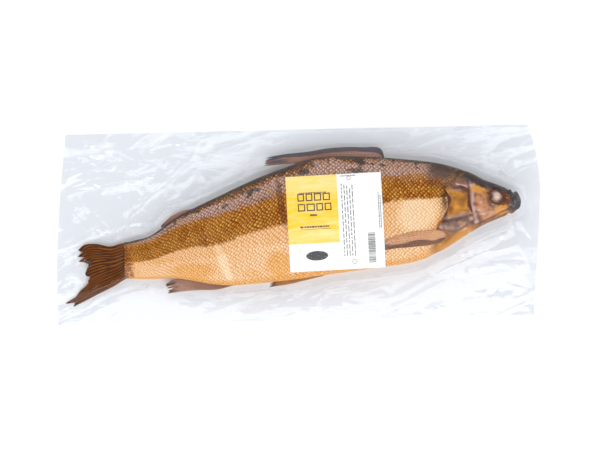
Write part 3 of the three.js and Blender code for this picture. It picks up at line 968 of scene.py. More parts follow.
def scale_height(u, v):
    """The scale pattern's height at a place of the skin's UV map: the same lattice and the same
    rise and bow, with every cell's middle at its mean place."""
    shift = 0.5 - SCALE_IRREGULARITY / 2
    off_a = (u + v + shift) % 1 - 0.5
    off_b = (u - v + shift) % 1 - 0.5
    return 0.5 - (off_a + off_b) / 2 - 1.6 * ((off_a - off_b) / 2) ** 2


def skin_rings(share, across, upper, out):
    """Both flanks with their relief; the snout's last rings shrink by a quarter circle."""
    right, left = (on_skin(share, across, side, out) for side in (1, -1))
    points = np.where(upper[..., None], right, left)
    past = np.clip(share - SNOUT_ROUNDING, 0, 1) / (1 - SNOUT_ROUNDING)
    shrink = np.sqrt(np.clip(1 - past**2, 0.02, 1))[..., None]
    axis = points.mean(axis=1, keepdims=True)
    return axis + (points - axis) * shrink


def build_skin():
    """Rings along the body, slightly closer at the snout, each |y|^p + |z|^p = 1 by angle.
    The relief and the scales move each point out along the section's own normal. The UV map counts
    scales from the tail and, round the flank, from the back; its rows wander a little."""
    size = sizes()
    count, around = size.skin_steps, size.skin_ring
    share = np.linspace(0, 1, count) ** 0.97
    angle = (np.arange(around) + 0.5) * 2 * math.pi / around
    across = np.sign(np.cos(angle)) * np.abs(np.cos(angle)) ** (2 / SECTION_POWER)
    share, across = np.meshgrid(share, across, indexing="ij")
    upper = np.broadcast_to(np.sin(angle) > 0, share.shape)
    relief = head_relief(share, across)
    points = skin_rings(share, across, upper, relief)
    arc = np.linalg.norm(np.diff(points, axis=1), axis=-1)
    half = around // 2
    from_back = np.zeros(share.shape)
    from_back[:, 1:half] = np.cumsum(arc[:, : half - 1], axis=1)
    from_back[:, half:] = from_back[:, half - 1 :: -1]
    depth = form_at(points[:, :1, 0])[1]
    pitch = size.scale_pitch * (0.5 + 0.5 * depth / FORM[:, 1].max())
    travel = np.cumsum(np.gradient(points[:, :1, 0], axis=0) / pitch, axis=0)
    travel = travel + 0.25 * spots(share, across, 30, 77, 50)
    uv = np.stack(np.broadcast_arrays(travel, from_back / pitch), -1)
    masks_up = skin_masks(share, across, 1)
    masks_down = skin_masks(share, across, -1)
    masks = {name: np.where(upper, masks_up[name], masks_down[name]) for name in masks_up}
    scales = size.scale_relief * 0.6 * scale_height(uv[..., 0], uv[..., 1])
    scales *= masks["trunk"] * step(0, 0.02, share)
    points = skin_rings(share, across, upper, relief + scales)
    piece = facing_out(add_tube("smoked_skin", points, uv, masks))
    return settle(piece, "fish_body", skin_material())


# Outline of the gill cover, from its upper rear corner and round by the rear edge: share, across.
GILL_REAR = [[0.846, 0.56], [0.822, 0.54], [0.812, 0.36], [0.8135, 0.12], [0.811, -0.1]]
GILL_FOOT = [[0.797, -0.3], [0.79, -0.46], [0.806, -0.6], [0.84, -0.72], [0.868, -0.66]]
GILL_FRONT = [[0.8755, -0.4], [0.874, -0.05], [0.868, 0.28], [0.861, 0.48], [0.846, 0.56]]
GILL_OUTLINE = GILL_REAR + GILL_FOOT + GILL_FRONT


def build_gill_cover(side_name, side, material):
    """A plate laid on the cheek: polar grid inside its outline, crowned by 1 - r^4 and closed by a
    lower layer, with a dip between its upper and lower bones."""
    turns = np.linspace(0, 1, 129)[:-1]
    radius = np.linspace(0.02, 1, 34)
    rim = curve(GILL_OUTLINE, turns)
    centre = rim.mean(axis=0)
    spot = centre + radius[:, None, None] * (rim - centre)
    share, across = spot[..., 0], spot[..., 1]
    r = np.broadcast_to(radius[:, None], share.shape)
    seam = across - (-0.36 - 1.2 * (share - 0.83))
    dip = 0.5 * hump(0, 0.05, seam) + 0.25 * hump(0.32, 0.05, across + 3 * (share - 0.84))
    height = (0.5 + sizes().gill_edge / MM * (1 - r**4) - dip * (1 - r**4)) * MM
    height += 0.12 * MM * spots(share, across, 9, 3)
    upper = on_skin(share, across, side, height)
    lower = on_skin(share, across, side, -0.4 * MM)
    patches = spots(share, across, 13, 4)
    golden = step(0.0, 0.08, seam) * step(0.86, 0.66, r + 0.16 * patches) * (0.8 + 0.3 * patches)
    golden += 0.6 * step(-0.02, -0.12, seam) * step(-0.2, 0.9, spots(share, across, 9, 7))
    # Painted highlights: pale rings and spots along the plate's ridges.
    silver = 0.9 * hump(0.72, 0.05, r) * step(0.2, 0.45, across)
    silver += 0.5 * hump(0.9, 0.04, r) * step(-0.2, -0.4, across)
    silver += 0.5 * hump(0.05, 0.035, seam) + 0.4 * step(1.0, 1.6, spots(share, across, 10, 6))
    uv = np.stack([r, np.broadcast_to(turns, r.shape)], -1)
    masks = {"golden": there_and_back(golden, golden), "silver": there_and_back(silver, silver)}
    masks = {mask: np.clip(values, 0, 1) for mask, values in masks.items()}
    rings = there_and_back(upper, lower)
    piece = add_tube(f"gill_plate_{side_name}", rings, there_and_back(uv, uv), masks)
    return settle(facing_out(piece), f"gill_cover_{side_name}", material)


def build_eye(side_name, side, material):
    """A shallow dome in its socket: a surface of revolution about the skin's normal, with height
    falling as 1 - r^2.4 and a small crown over the lens."""
    radius = np.linspace(0.02, 1, 26)
    turns = np.linspace(0, 2 * math.pi, 73)[:-1]
    r, turn = np.meshgrid(radius, turns, indexing="ij")
    depth = form_at(along(EYE[0]))[1]
    share = EYE[0] + r * np.cos(turn) * sizes().eye_radius / BODY_LENGTH
    across = EYE[1] + r * np.sin(turn) * sizes().eye_radius / depth
    height = (-0.9 + 1.5 * (1 - r**2.4) + 0.35 * step(0.5, 0.3, r)) * MM
    dome = on_skin(share, across, side, height)
    rings = there_and_back(dome, on_skin(share, across, side, -2.2 * MM))
    uv = np.stack([r, turn / (2 * math.pi)], -1)
    piece = add_tube(f"clouded_eye_{side_name}", rings, there_and_back(uv, uv))
    return settle(facing_out(piece), f"eye_{side_name}", material)


def frayed(share, rays, depth, seed):
    """How much of its length each ray keeps, 1 - depth at the deepest notch between rays."""
    rng = np.random.default_rng(seed)
    loss = np.interp(share * rays, np.arange(rays * 2) / 2, rng.uniform(0, 1, rays * 2) ** 2)
    comb = 0.5 - 0.5 * np.cos(2 * math.pi * share * rays)
    return 1 - depth * (0.65 * loss + 0.35 * comb * loss)


def thinned(across, power):
    """Falls from 1 in the middle of a span to almost 0 at its ends, as a flat-topped arch does."""
    return np.sqrt(np.clip(1 - (2 * across - 1) ** power, 0.02, 1))


def build_blade(name, node, material, edges, place, rays, fray, grid, seed, shaded=0.0):
    """A fin: rays run from 0 to 1 between two edges, share(a, b) = first(a) (1 - b) + second(a) b.
    Thickness tapers from root to tip, swells on each ray and thins to the two edges; place lays a
    flat point out from the body. The tips are cut back ray by ray."""
    size = sizes()
    a = np.linspace(0, 1, grid[0])[:, None]
    b = np.linspace(0, 1, grid[1])[None, :]
    reach = a * frayed(b, rays, fray, seed)
    first, second = (curve(edge, reach) for edge in edges)
    flat = first * (1 - b[..., None]) + second * b[..., None]
    wave = np.cos(2 * math.pi * rays * b)
    thick = size.fin_root * (1 - reach) ** 0.7 + size.fin_tip
    edge = thinned(b, 6) * np.sqrt(np.clip(1 - reach**16, 0.04, 1))
    edge = edge * np.sqrt(np.clip(1 - (1 - a) ** 24, 0.04, 1))
    half = thick / 2 * edge * (0.75 + 0.25 * wave)
    buckle = 0.35 * MM * ripple(flat[..., 0] / MM, flat[..., 1] / MM, 22, seed + 40) * a
    upper = place(flat[..., 0], flat[..., 1], buckle + half)
    lower = place(flat[..., 0], flat[..., 1], buckle - half)
    uv = np.stack(np.broadcast_arrays(reach, b), -1)
    tip = step(0.8, 1.0, reach + 0.08 * ripple(reach * 20, b * 20, 6, seed)) * np.ones_like(b)
    tip = np.maximum(tip, shaded * step(0.56, 0.66, b + 0.06 * ripple(reach * 20, b * 20, 7, seed + 1)))
    piece = add_tube(name, fold(upper, lower), fold(uv, uv), {"tip": fold(tip, tip)})
    return settle(facing_out(piece), node, material)


def in_middle(x, y, out):
    """Lays a flat point on the seam between the films, out above it."""
    return np.stack([x, y, seam_level(x, y) + out], -1)


def off_edge(points, way):
    """(share, millimetres out from the back, way 1, or the belly, way -1) to flat metres."""
    share, out = np.array(points, float).T
    middle, depth = form_at(along(share))[:2]
    return np.stack([along(share), middle + way * (depth + out * MM)], -1)


def on_back(*points):
    """Flat places given out from the back."""
    return off_edge(points, 1)


def on_belly(*points):
    """Flat places given out from the belly."""
    return off_edge(points, -1)


def beside_middle(side, lift):
    """Lays a flat point beside the seam plane, on the fish's own side of it."""
    return lambda x, y, out: in_middle(x, y, out + side * lift)


def on_flank(side, lift):
    """Lays a flat point (share, across) on the flank, lifted from it and clear of the skin."""
    return lambda share, across, out: on_skin(share, across, side, np.maximum(out + lift, -0.4 * MM))


def build_median_fins():
    """Tail, back, adipose and anal fins, which lie in the plane between the films."""
    tone = colours()
    build_tail(fin_material("Tail fin", 13, tone.fin, tone.fin_ray, tone.char))
    slate = fin_material("Back fin", 7, tone.head, tone.mauve, tone.fin_grey)
    pale = fin_material("Anal fin", 11, tone.head, tone.mauve, tone.gill_shade)
    edges = (
        on_back([0.659, -2.5], [0.6, -2.5], [0.52, -2.5], [0.45, -1.5], [0.4, 4], [0.356, 9.5]),
        on_back([0.659, 0], [0.652, 8], [0.6, 9.6], [0.53, 8.4], [0.46, 8.4], [0.4, 14], [0.357, 17.2]),
    )
    build_blade("back_fin", "dorsal_fin", slate, edges, in_middle, 9, 0.08, (150, 64), 3, 0.95)
    edges = (
        on_back([0.178, -0.5], [0.15, 3], [0.12, 4.6], [0.092, 3.2]),
        on_back([0.172, -2.5], [0.14, -1.6], [0.11, -0.6], [0.094, 1]),
    )
    build_blade("adipose_flap", "adipose_fin", slate, edges, in_middle, 4, 0.05, (60, 28), 4)
    edges = (
        on_belly([0.272, -2], [0.2, -2], [0.15, -2], [0.12, 2], [0.1, 4.6]),
        on_belly([0.276, -0.5], [0.23, 5], [0.18, 9.2], [0.14, 13], [0.106, 15.4]),
    )
    build_blade("anal_fin_rays", "anal_fin", pale, edges, in_middle, 11, 0.14, (90, 64), 5)


# The tail fin's two long edges, its root and its ragged rear edge, in millimetres from the middle of
# the tail's root.
TAIL_TOP = [[8, 15], [0, 17.5], [-14, 14.6], [-30, 17.4], [-41, 16.2], [-47, 11.2]]
TAIL_FOOT = [[8, -15], [0, -18.6], [-10, -24.6], [-26, -32.2], [-41, -39.6], [-58.5, -47.6]]
TAIL_START = [[8, 15], [8, 5], [8, -5], [8, -15]]
TAIL_END = [[-47, 11.2], [-44, 8.5], [-47.5, 4.6], [-43, 2.8], [-46.5, 0.2], [-40, -1.5], [-39.6, -9]]
TAIL_END += [[-40.5, -14], [-38, -18.5], [-44.5, -27], [-51, -35.5], [-61.5, -42], [-58.5, -47.6]]


def bow_of(edge, reach):
    """How far a long edge's curve stands off the straight line between its ends."""
    edge = np.array(edge) * MM
    return curve(edge, reach) - (edge[0] + reach[..., None] * (edge[-1] - edge[0]))


def build_tail(material):
    """The tail fin: rays fan from the root to a forked edge. Flat point = root(b) + a (edge(b) - root(b)),
    bowed towards the two long edges near them, and each ray is frayed to its own length."""
    size = sizes()
    rays = 13
    a = np.linspace(0, 1, 110)[:, None]
    b = np.linspace(0, 1, 230)[None, :]
    reach = a * frayed(b, rays, 0.16, 2)
    start = curve(np.array(TAIL_START) * MM, b)
    end = curve(np.array(TAIL_END) * MM, b)
    weight = b[..., None]
    flat = start + reach[..., None] * (end - start)
    flat = flat + bow_of(TAIL_TOP, reach) * (1 - weight) ** 2 + bow_of(TAIL_FOOT, reach) * weight**2
    x = TAIL_ROOT + flat[..., 0]
    y = FORM[0, 0] + flat[..., 1]
    wave = np.cos(2 * math.pi * rays * b)
    flesh = 15 * MM * np.clip(1 - reach / 0.5, 0, 1) ** 2 * np.sqrt(np.clip(1 - (2 * b - 1) ** 2, 0, 1))
    thick = (size.fin_root * 1.3) * (1 - reach) ** 1.2 + size.fin_tip + flesh
    rim = thinned(b, 10) * np.sqrt(np.clip(1 - a**20, 0.04, 1))
    half = thick / 2 * rim * (0.72 + 0.28 * wave * step(0.05, 0.3, reach))
    buckle = 0.5 * MM * ripple(x / MM, y / MM, 20, 12) * reach
    tip = step(0.7, 1.0, reach) * step(0.9, 0.97, b)
    tip = np.clip(tip + 0.6 * step(0.86, 1, reach + 0.06 * ripple(b * 40, a * 10, 5, 1)), 0, 1)
    uv = np.stack(np.broadcast_arrays(reach, b), -1)
    rings = fold(in_middle(x, y, buckle + half), in_middle(x, y, buckle - half))
    piece = facing_out(add_tube("tail_fin_rays", rings, fold(uv, uv), {"tip": fold(tip, tip)}))
    return settle(piece, "tail_fin", material)


# Upper and lower edges of the pectoral fin, from its root: share, across.
PECTORAL_TOP = [[0.808, -0.68], [0.79, -0.52], [0.77, -0.45], [0.725, -0.4]]
PECTORAL_TOP += [[0.69, -0.43], [0.65, -0.52], [0.633, -0.6]]
PECTORAL_FOOT = [[0.807, -0.76], [0.79, -0.8], [0.77, -0.77], [0.725, -0.7]]
PECTORAL_FOOT += [[0.69, -0.68], [0.65, -0.68], [0.634, -0.66]]


def build_paired_fins():
    """Pectoral and pelvic fins, folded back against both flanks."""
    tone = colours()
    mauve = fin_material("Pectoral fin", 9, tone.cheek, tone.light, tone.gill_shade)
    orange = fin_material("Pelvic fin", 6, tone.head, tone.gold, tone.gill_shade)
    pelvic = (
        on_belly([0.505, -2.5], [0.46, -4.5], [0.41, -3.5], [0.365, 0.5]),
        on_belly([0.5, 1.0], [0.46, 2.5], [0.41, 4.2], [0.362, 4.6]),
    )
    for side_name, side in SIDES:
        name, node = f"pectoral_blade_{side_name}", f"pectoral_fin_{side_name}"
        place = on_flank(side, 0.5 * MM)
        edges = (PECTORAL_TOP, PECTORAL_FOOT)
        build_blade(name, node, mauve, edges, place, 12, 0.1, (110, 72), 6, 0.8)
        name, node = f"pelvic_blade_{side_name}", f"pelvic_fin_{side_name}"
        place = beside_middle(side, 1.5 * MM)
        build_blade(name, node, orange, pelvic, place, 6, 0.1, (90, 40), 7)


# ---------------------------------------------------------------- the pouch


# How far the pouch's short ends are drawn in, from its belly side to its back side, in millimetres.
LEFT_END = ([0, 0.33, 0.75, 1], [0, 0.3, 6, 11.3])
RIGHT_END = ([0, 0.5, 0.7, 0.87, 1], [8, 1.6, 0, 3.6, 9.7])


def film_plan():
    """Flat places of the film's grid: rows along X and columns along Y, its ends drawn in."""
    low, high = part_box("pouch_film_top")
    pitch = sizes().film_step
    shares = [np.linspace(0, 1, int(round((high[i] - low[i]) / pitch))) for i in (0, 1)]
    u, v = np.meshgrid(*shares, indexing="ij")
    left = low[0] + smooth(*LEFT_END, v) * MM
    right = high[0] - smooth(*RIGHT_END, v) * MM
    return left + (right - left) * u, low[1] + (high[1] - low[1]) * v


def nearest(place, low, high, count):
    """Index of the nearest of count equal steps between low and high."""
    return np.clip(np.round((place - low) / (high - low) * (count - 1)), 0, count - 1).astype(int)


def pressed_into(x, pieces, top):
    """Highest (or lowest) point of the pieces over each cell of the film's grid, and of the four
    cells beside it; 1 m below (or above) where there is none."""
    low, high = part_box("pouch_film_top")
    points = np.concatenate([vertices_of(piece) for piece in pieces])
    columns = nearest(points[:, 1], low[1], high[1], x.shape[1])
    rows = nearest(points[:, 0], x[0, columns], x[-1, columns], x.shape[0])
    field = np.full(x.shape, -1.0 if top else 1.0)
    combine = np.maximum if top else np.minimum
    combine.at(field, (rows, columns), points[:, 2])
    grown = field.copy()
    for shift in (-1, 1):
        for axis in (0, 1):
            grown = combine(grown, np.roll(field, shift, axis))
    return grown


# The film's tallest folds: middle in millimetres, heading, half length in millimetres.
FILM_TENTS = (
    (146, 63, -0.38, 28),
    (130, 64, -0.14, 14),
    (93, 74, 0.5, 12),
    (60, 82, 0.15, 26),
    (-60, 50, 0.75, 14),
    (-104, 20, 0.65, 16),
    (205, 52, -0.8, 15),
    (-150, -4, 0.2, 16),
    (60, -62, 0.12, 30),
    (-90, -72, -0.15, 24),
)


# Folds that fan out from the head and from the tail: how many, from where, and the longest half length.
FANS = ((46, (SNOUT - 20 * MM, 0.015), 0.055), (40, (TAIL_ROOT, FORM[0, 0]), 0.05))
EDGE_FOLDS = 90
STRAY_FOLDS = 70


def draw_folds(rng):
    """Middle, heading and half length of every small fold: fans at the head and the tail, two rows
    along the long edges, and strays anywhere."""
    low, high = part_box("pouch_film_top")
    folds = []
    for count, (cx, cy), reach in FANS:
        turn = rng.uniform(0, 2 * math.pi, count)
        radius = rng.uniform(0.02, 0.13, count)
        heading = turn + rng.normal(0, 0.25, count)
        half = rng.uniform(0.008, reach, count)
        folds.append((cx + radius * np.cos(turn), cy + radius * np.sin(turn), heading, half))
    sway = rng.normal(0, 0.3, EDGE_FOLDS)
    for heading, foot, head, reach in (
        (sway, high[1] - 0.045, high[1], 0.05),
        (sway - 0.1, low[1], low[1] + 0.05, 0.045),
    ):
        cx = rng.uniform(low[0], high[0], EDGE_FOLDS)
        cy = rng.uniform(foot, head, EDGE_FOLDS)
        folds.append((cx, cy, heading, rng.uniform(0.01, reach, EDGE_FOLDS)))
    cx = rng.uniform(low[0], high[0], STRAY_FOLDS)
    cy = rng.uniform(low[1], high[1], STRAY_FOLDS)
    heading = rng.uniform(0, math.pi, STRAY_FOLDS)
    folds.append((cx, cy, heading, rng.uniform(0.006, 0.025, STRAY_FOLDS)))
    return np.concatenate([np.stack(fold, -1) for fold in folds])


def fold_frame(x, y, cx, cy, heading):
    """How far each place lies forward along a fold and aside from it."""
    forward = (x - cx) * math.cos(heading) + (y - cy) * math.sin(heading)
    aside = -(x - cx) * math.sin(heading) + (y - cy) * math.cos(heading)
    return forward, aside


def crease_field(x, y):
    """Heights of the film's creases: folds with a bell across and a taper along, each a little
    curved, the listed tallest folds, and soft buckles under them all."""
    rng = np.random.default_rng(14)
    total = np.zeros(x.shape)
    for cx, cy, heading, reach in draw_folds(rng):
        forward, aside = fold_frame(x, y, cx, cy, heading)
        aside = aside + rng.normal(0, 4) * forward**2
        width = rng.uniform(0.9, 2.6) * MM
        height = rng.uniform(0.25, 1.0) * width / (2.6 * MM)
        total = np.maximum(total, height * hump(0, 1, aside / width) * hump(0, 1, forward / reach))
    for cx, cy, heading, reach in FILM_TENTS:
        forward, aside = fold_frame(x, y, cx * MM, cy * MM, heading)
        total = np.maximum(total, 1.6 * hump(0, 1.7 * MM, aside) * hump(0, reach * MM, forward))
    soft = 0.4 * np.abs(ripple(x, y, 0.05, 17)) + 0.25 * np.abs(ripple(x, y, 0.02, 18))
    return (total + soft) * sizes().crease_height


def relax(start, limit, upward, rounds):
    """A stretched sheet over an obstacle: each point takes its neighbours' mean, held above (or
    below) the obstacle."""
    sheet = start
    hold = np.maximum if upward else np.minimum
    for _ in range(rounds):
        sheet = hold(blur(sheet), limit)
    return sheet


def build_pouch():
    """Both films: the seam surface with the fish's pieces pressed into it, relaxed as a stretched
    sheet, with creases where no fish holds it taut."""
    size = sizes()
    x, y = film_plan()
    inner = [o for o in bpy.data.objects if o.get("whitefish_inner")]
    seam = seam_level(x, y)
    low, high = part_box("pouch_film_top")
    from_rim = np.minimum(np.minimum(y - low[1], high[1] - y), np.minimum(x - x[0], x[-1] - x))
    top_limit = pressed_into(x, inner, True) + size.film_cling
    foot_limit = pressed_into(x, inner, False) - size.film_cling
    covered = relax((top_limit > 0).astype(float), np.full(x.shape, -1.0), True, 24)
    loose = step(0.65, 0.1, covered)
    lift = crease_field(x, y) * (0.12 + 0.88 * loose) * step(0, 0.012, from_rim)
    seam = seam + 0.6 * lift
    over, under = np.maximum(top_limit, seam), np.minimum(foot_limit, seam)
    top = relax(over, over, True, 70) + 0.45 * lift + 0.05 * MM
    foot = relax(under, under, False, 40)
    foot = np.maximum(foot - 0.05 * MM, 0.02 * MM)
    top = np.minimum(np.maximum(top, foot + 0.08 * MM), high[2] + 1.5 * MM)
    material = film_material()
    uv = np.stack([x, y], -1) / 0.1
    faces = grid_faces(*x.shape)
    for name, node, z, turned in (
        ("film_top", "pouch_film_top", top, False),
        ("film_bottom", "pouch_film_bottom", foot, True),
    ):
        ordered = faces if turned else faces[:, ::-1]
        piece = add_mesh(name, np.stack([x, y, z], -1), ordered, uv, {"loose": loose})
        settle(piece, node, material)
        up = piece.data.polygons[len(faces) // 2].normal.z > 0
        if up == turned:
            piece.data.flip_normals()


# ---------------------------------------------------------------- the label


LABEL_TURN = math.radians(1.8)


def label_centre():
    """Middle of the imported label, seen from above."""
    low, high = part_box("label")
    return (low[0] + high[0]) / 2, (low[1] + high[1]) / 2


def film_height(x, y):
    """Height of the upper film under a place, from its grid by bilinear mean."""
    film = bpy.data.objects["film_top"]
    plan_x = film_plan()[0]
    height = vertices_of(film)[:, 2].reshape(plan_x.shape)
    low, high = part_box("pouch_film_top")
    v = (y - low[1]) / (high[1] - low[1]) * (plan_x.shape[1] - 1)
    column = np.clip(v.astype(int), 0, plan_x.shape[1] - 2)
    left, right = plan_x[0, column], plan_x[-1, column]
    u = (x - left) / (right - left) * (plan_x.shape[0] - 1)
    row = np.clip(u.astype(int), 0, plan_x.shape[0] - 2)
    fu, fv = u - row, v - column
    near = height[row, column] * (1 - fv) + height[row, column + 1] * fv
    far = height[row + 1, column] * (1 - fv) + height[row + 1, column + 1] * fv
    return near * (1 - fu) + far * fu


def on_label(s, t, out):
    """A place on the label, s and t from 0 to 1 along its lower and left edges, out above the film.
    Paper is stiffer than film, so its height is the mean of nine places around."""
    cx, cy = label_centre()
    side = sizes().label_side
    a, b = (s - 0.5) * side, (t - 0.5) * side
    x = cx + a * math.cos(LABEL_TURN) - b * math.sin(LABEL_TURN)
    y = cy + a * math.sin(LABEL_TURN) + b * math.cos(LABEL_TURN)
    reach = 3 * MM
    heights = [film_height(x + i * reach, y + j * reach) for i in (-1, 0, 1) for j in (-1, 0, 1)]
    z = np.maximum(np.mean(heights, axis=0), heights[4])
    return np.stack([x, y, z + out], -1)


def build_label():
    """A thin square of paper on the film: an upper and a lower grid joined round the edge."""
    s, t = np.meshgrid(np.linspace(0, 1, 118), np.linspace(0, 1, 118), indexing="ij")
    paper = sizes().label_paper
    rings = fold(on_label(s, t, 0.1 * MM + paper), on_label(s, t, 0.1 * MM))
    uv = np.stack([s, t], -1)
    piece = facing_out(add_tube("paper_label", rings, fold(uv, uv)))
    return settle(piece, "label", label_material())


def text_lines(start, end, line_count, size, gap, rng, vertical=False):
    """Rows of dashes that stand for words: each row starts at the same edge, and dashes and gaps
    have random lengths."""
    bars = []
    for line in range(line_count):
        at = 0.0
        stop = rng.uniform(0.86, 1.0)
        while at < stop:
            word = min(rng.uniform(0.025, 0.09), stop - at)
            across = start[0 if vertical else 1] + line * gap * (1 if vertical else -1)
            if vertical:
                a = start[1] + at * (end[1] - start[1])
                bars.append((across, a, across + size, a + word * (end[1] - start[1])))
            else:
                a = start[0] + at * (end[0] - start[0])
                bars.append((a, across, a + word * (end[0] - start[0]), across + size))
            at += word + 0.018
    return bars


# The title's two rows of frames: foot of the row, and each frame's width in its own units. The other
# sizes are shares of the label's side.
TITLE_ROWS = ((0.735, (7.5, 7.5, 8, 8)), (0.63, (8, 9, 7.5, 7.5)))
TITLE_UNIT = 98
TITLE_HEIGHT = 0.078
TITLE_STROKE = 0.012


def frame_bars(left, foot, right, head):
    """Four bars that frame a box and don't overlap."""
    inner_left, inner_right = left + TITLE_STROKE, right - TITLE_STROKE
    return [
        (left, foot, inner_left, head),
        (inner_right, foot, right, head),
        (inner_left, foot, inner_right, foot + TITLE_STROKE),
        (inner_left, head - TITLE_STROKE, inner_right, head),
    ]


def print_bars():
    """Every printed bar as (left, foot, right, head) in shares of the label: empty frames for the
    title, dashes for small print, and stripes for the code."""
    rng = np.random.default_rng(9)
    bars = []
    for foot, widths in TITLE_ROWS:
        left = 0.115
        for width in widths:
            right = left + width / TITLE_UNIT
            bars += frame_bars(left, foot, right - 0.006, foot + TITLE_HEIGHT)
            left = right + 0.01
    bars += text_lines((0.13, 0.815), (0.42, 0.815), 1, 0.01, 0.02, rng)
    bars += text_lines((0.235, 0.575), (0.31, 0.575), 1, 0.022, 0.03, rng)
    bars += text_lines((0.13, 0.455), (0.45, 0.455), 1, 0.018, 0.03, rng)
    bars.append((0.13, 0.437, 0.45, 0.441))
    bars += text_lines((0.57, 0.975), (0.74, 0.975), 1, 0.008, 0.02, rng)
    bars += text_lines((0.575, 0.14), (0.575, 0.93), 5, 0.008, 0.028, rng, vertical=True)
    bars += text_lines((0.955, 0.42), (0.955, 0.8), 2, 0.008, 0.018, rng, vertical=True)
    at = 0.06
    while at < 0.37:
        thick = rng.choice([0.003, 0.006, 0.009])
        bars.append((0.83, at, 0.905, at + thick))
        at += thick + rng.choice([0.004, 0.007])
    return np.array(bars)


BAR_POINTS = 4  # along and across each printed bar
RING_POINTS = (7, 48)  # out from a printed disc's middle and around it
# A disc for the picture and a ring for each mark: middle, radii, and the hole as a share of them.
DISCS = (
    (0.29, 0.16, 0.115, 0.05, 0.0),
    (0.66, 0.955, 0.02, 0.02, 0.8),
    (0.68, 0.08, 0.025, 0.025, 0.8),
)


def build_print():
    """The print: each bar is a small grid that follows the paper, a hair above it, as the disc and
    the two rings do."""
    bars = print_bars()
    q = np.linspace(0, 1, BAR_POINTS)
    s = bars[:, 0, None, None] + (bars[:, 2] - bars[:, 0])[:, None, None] * q[None, :, None]
    t = bars[:, 1, None, None] + (bars[:, 3] - bars[:, 1])[:, None, None] * q[None, None, :]
    s, t = np.broadcast_arrays(s, t)
    above = 0.1 * MM + sizes().label_paper + 0.05 * MM
    bar_points = on_label(s, t, above).reshape(-1, 3)
    first_points = np.arange(len(bars)) * BAR_POINTS**2
    bar_faces = grid_faces(BAR_POINTS, BAR_POINTS)[None] + first_points[:, None, None]
    faces = [bar_faces.reshape(-1, 4)]
    points = [bar_points]
    base = len(bar_points)
    out_count, around = RING_POINTS
    for cs, ct, rs, rt, hole in DISCS:
        radius = np.linspace(max(hole, 0.02), 1, out_count)[:, None]
        turn = np.linspace(0, 2 * math.pi, around + 1)[None, :-1]
        disc = on_label(cs + rs * radius * np.cos(turn), ct + rt * radius * np.sin(turn), above)
        points.append(disc.reshape(-1, 3))
        faces.append(grid_faces(out_count, around, closed=True) + base)
        base += out_count * around
    piece = add_mesh("label_print", np.concatenate(points), np.concatenate(faces))
    normals = np.empty(len(piece.data.polygons) * 3)
    piece.data.polygons.foreach_get("normal", normals)
    if normals[2::3].mean() < 0:
        piece.data.flip_normals()
    return settle(piece, "label", ink_material())


# ---------------------------------------------------------------- the stage


def area_light(name, place, width, depth, power):
    """A white soft box that faces the middle of the floor."""
    lamp = bpy.data.lights.new(name, "AREA")
    lamp.shape = "RECTANGLE"
    lamp.size, lamp.size_y = width, depth
    lamp.energy = power
    holder = bpy.data.objects.new(name, lamp)
    facing = (-Vector(place)).to_track_quat("-Z", "Y").to_matrix().to_4x4()
    holder.matrix_world = Matrix.Translation(place) @ facing
    bpy.context.scene.collection.objects.link(holder)


def build_stage():
    """A pale floor, a large soft light from the belly side, a second from the back and a slim one
    overhead, a pale surround that fades overhead, and a camera straight above, rolled a little."""
    half = 3.0
    corners = np.array([[-half, -half, 0], [half, -half, 0], [half, half, 0], [-half, half, 0]])
    floor = add_mesh("studio_floor", corners, np.array([[0, 1, 2, 3]]))
    floor.data.materials.append(floor_material())
    world = bpy.data.worlds.new("Studio")
    world.use_nodes = True
    sky = Nodes(world.node_tree)
    height = sky.split(sky.add("ShaderNodeTexCoord").outputs["Generated"])[2]
    background = world.node_tree.nodes["Background"].inputs
    sky.put(background["Strength"], sky.range(height, 0.25, 0.85, 1.1, 0.08))
    background["Color"].default_value = (0.96, 0.975, 1.0, 1)
    bpy.context.scene.world = world
    area_light("Key", (0.15, -1.25, 1.78), 3.0, 2.0, 42.5)
    area_light("Rim", (-0.1, 1.35, 1.6), 3.0, 1.1, 20)
    area_light("Strip", (-0.1, -0.45, 2.0), 1.6, 0.16, 2.6)
    data = bpy.data.cameras.new("View")
    distance, picture_width = 3.0, 0.6
    data.sensor_width = 36
    data.lens = data.sensor_width * distance / picture_width
    data.clip_start, data.clip_end = 0.05, 20
    camera = bpy.data.objects.new("View", data)
    roll = Matrix.Rotation(math.radians(-1.3), 4, "Z")
    camera.matrix_world = Matrix.Translation((1.75 * MM, -0.25 * MM, distance)) @ roll
    bpy.context.scene.collection.objects.link(camera)
    bpy.context.scene.camera = camera
    bpy.context.scene.view_settings.view_transform = "Standard"


# ---------------------------------------------------------------- operators


def mark_inner(names):
    """Marks the pieces that the films are pressed on."""
    for name in names:
        bpy.data.objects[name]["whitefish_inner"] = True


class WhitefishAddSkin(bpy.types.Operator):
    """Add the trunk and head with their smoked, scaled skin"""

    bl_idname = "whitefish.add_skin"
    bl_label = "Add Skin"

    def execute(self, context):
        build_skin()
        mark_inner(["smoked_skin"])
        return {"FINISHED"}


class WhitefishAddGills(bpy.types.Operator):
    """Add the right and left gill covers"""

    bl_idname = "whitefish.add_gills"
    bl_label = "Add Gill Covers"

    def execute(self, context):
        material = gill_material()
        for side_name, side in SIDES:
            build_gill_cover(side_name, side, material)
            mark_inner([f"gill_plate_{side_name}"])
        return {"FINISHED"}


class WhitefishAddEyes(bpy.types.Operator):
    """Add the two clouded eyes"""

    bl_idname = "whitefish.add_eyes"
    bl_label = "Add Eyes"

    def execute(self, context):
        material = eye_material()
        for side_name, side in SIDES:
            build_eye(side_name, side, material)
            mark_inner([f"clouded_eye_{side_name}"])
        return {"FINISHED"}


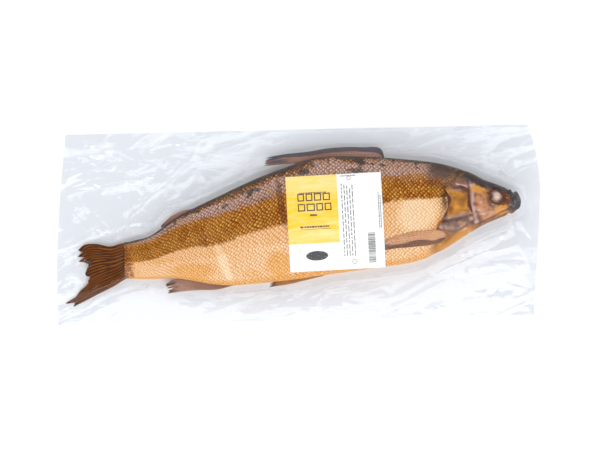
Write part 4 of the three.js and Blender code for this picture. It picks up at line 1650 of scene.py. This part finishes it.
class WhitefishAddFins(bpy.types.Operator):
    """Add the tail, back, adipose, anal, pectoral and pelvic fins"""

    bl_idname = "whitefish.add_fins"
    bl_label = "Add Fins"

    def execute(self, context):
        build_median_fins()
        build_paired_fins()
        mark_inner(["tail_fin_rays", "back_fin", "adipose_flap", "anal_fin_rays"])
        for side_name, _ in SIDES:
            mark_inner([f"pectoral_blade_{side_name}", f"pelvic_blade_{side_name}"])
        return {"FINISHED"}


class WhitefishAddPouch(bpy.types.Operator):
    """Add the two films of the vacuum pouch over the pieces inside"""

    bl_idname = "whitefish.add_pouch"
    bl_label = "Add Pouch"

    def execute(self, context):
        build_pouch()
        return {"FINISHED"}


class WhitefishAddLabel(bpy.types.Operator):
    """Add the paper label and its plain print"""

    bl_idname = "whitefish.add_label"
    bl_label = "Add Label"

    def execute(self, context):
        build_label()
        build_print()
        return {"FINISHED"}


class WhitefishAddStage(bpy.types.Operator):
    """Add the floor, the lights and the camera"""

    bl_idname = "whitefish.add_stage"
    bl_label = "Add Stage"

    def execute(self, context):
        build_stage()
        return {"FINISHED"}


STEPS = (
    WhitefishAddStage,
    WhitefishAddSkin,
    WhitefishAddGills,
    WhitefishAddEyes,
    WhitefishAddFins,
    WhitefishAddPouch,
    WhitefishAddLabel,
)


class WhitefishPanel(bpy.types.Panel):
    """Lists the building steps, sizes and colours"""

    bl_idname = "VIEW3D_PT_whitefish"
    bl_label = "Smoked Whitefish"
    bl_space_type = "VIEW_3D"
    bl_region_type = "UI"
    bl_category = "Whitefish"

    def draw(self, context):
        for action in STEPS:
            self.layout.operator(action.bl_idname)
        for group in (context.scene.whitefish_sizes, context.scene.whitefish_colours):
            box = self.layout.box()
            for name in group.__annotations__:
                box.prop(group, name)


CLASSES = (WhitefishSizes, WhitefishColours, *STEPS, WhitefishPanel)


def register():
    """Adds the classes and the two groups of settings."""
    for item in CLASSES:
        bpy.utils.register_class(item)
    bpy.types.Scene.whitefish_sizes = PointerProperty(type=WhitefishSizes)
    bpy.types.Scene.whitefish_colours = PointerProperty(type=WhitefishColours)


def unregister():
    """Takes the settings and the classes out again."""
    del bpy.types.Scene.whitefish_colours
    del bpy.types.Scene.whitefish_sizes
    for item in reversed(CLASSES):
        bpy.utils.unregister_class(item)


def main():
    """Registers the add-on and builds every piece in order."""
    register()
    for action in STEPS:
        family, verb = action.bl_idname.split(".")
        getattr(getattr(bpy.ops, family), verb)()


if __name__ == "__main__":
    main()
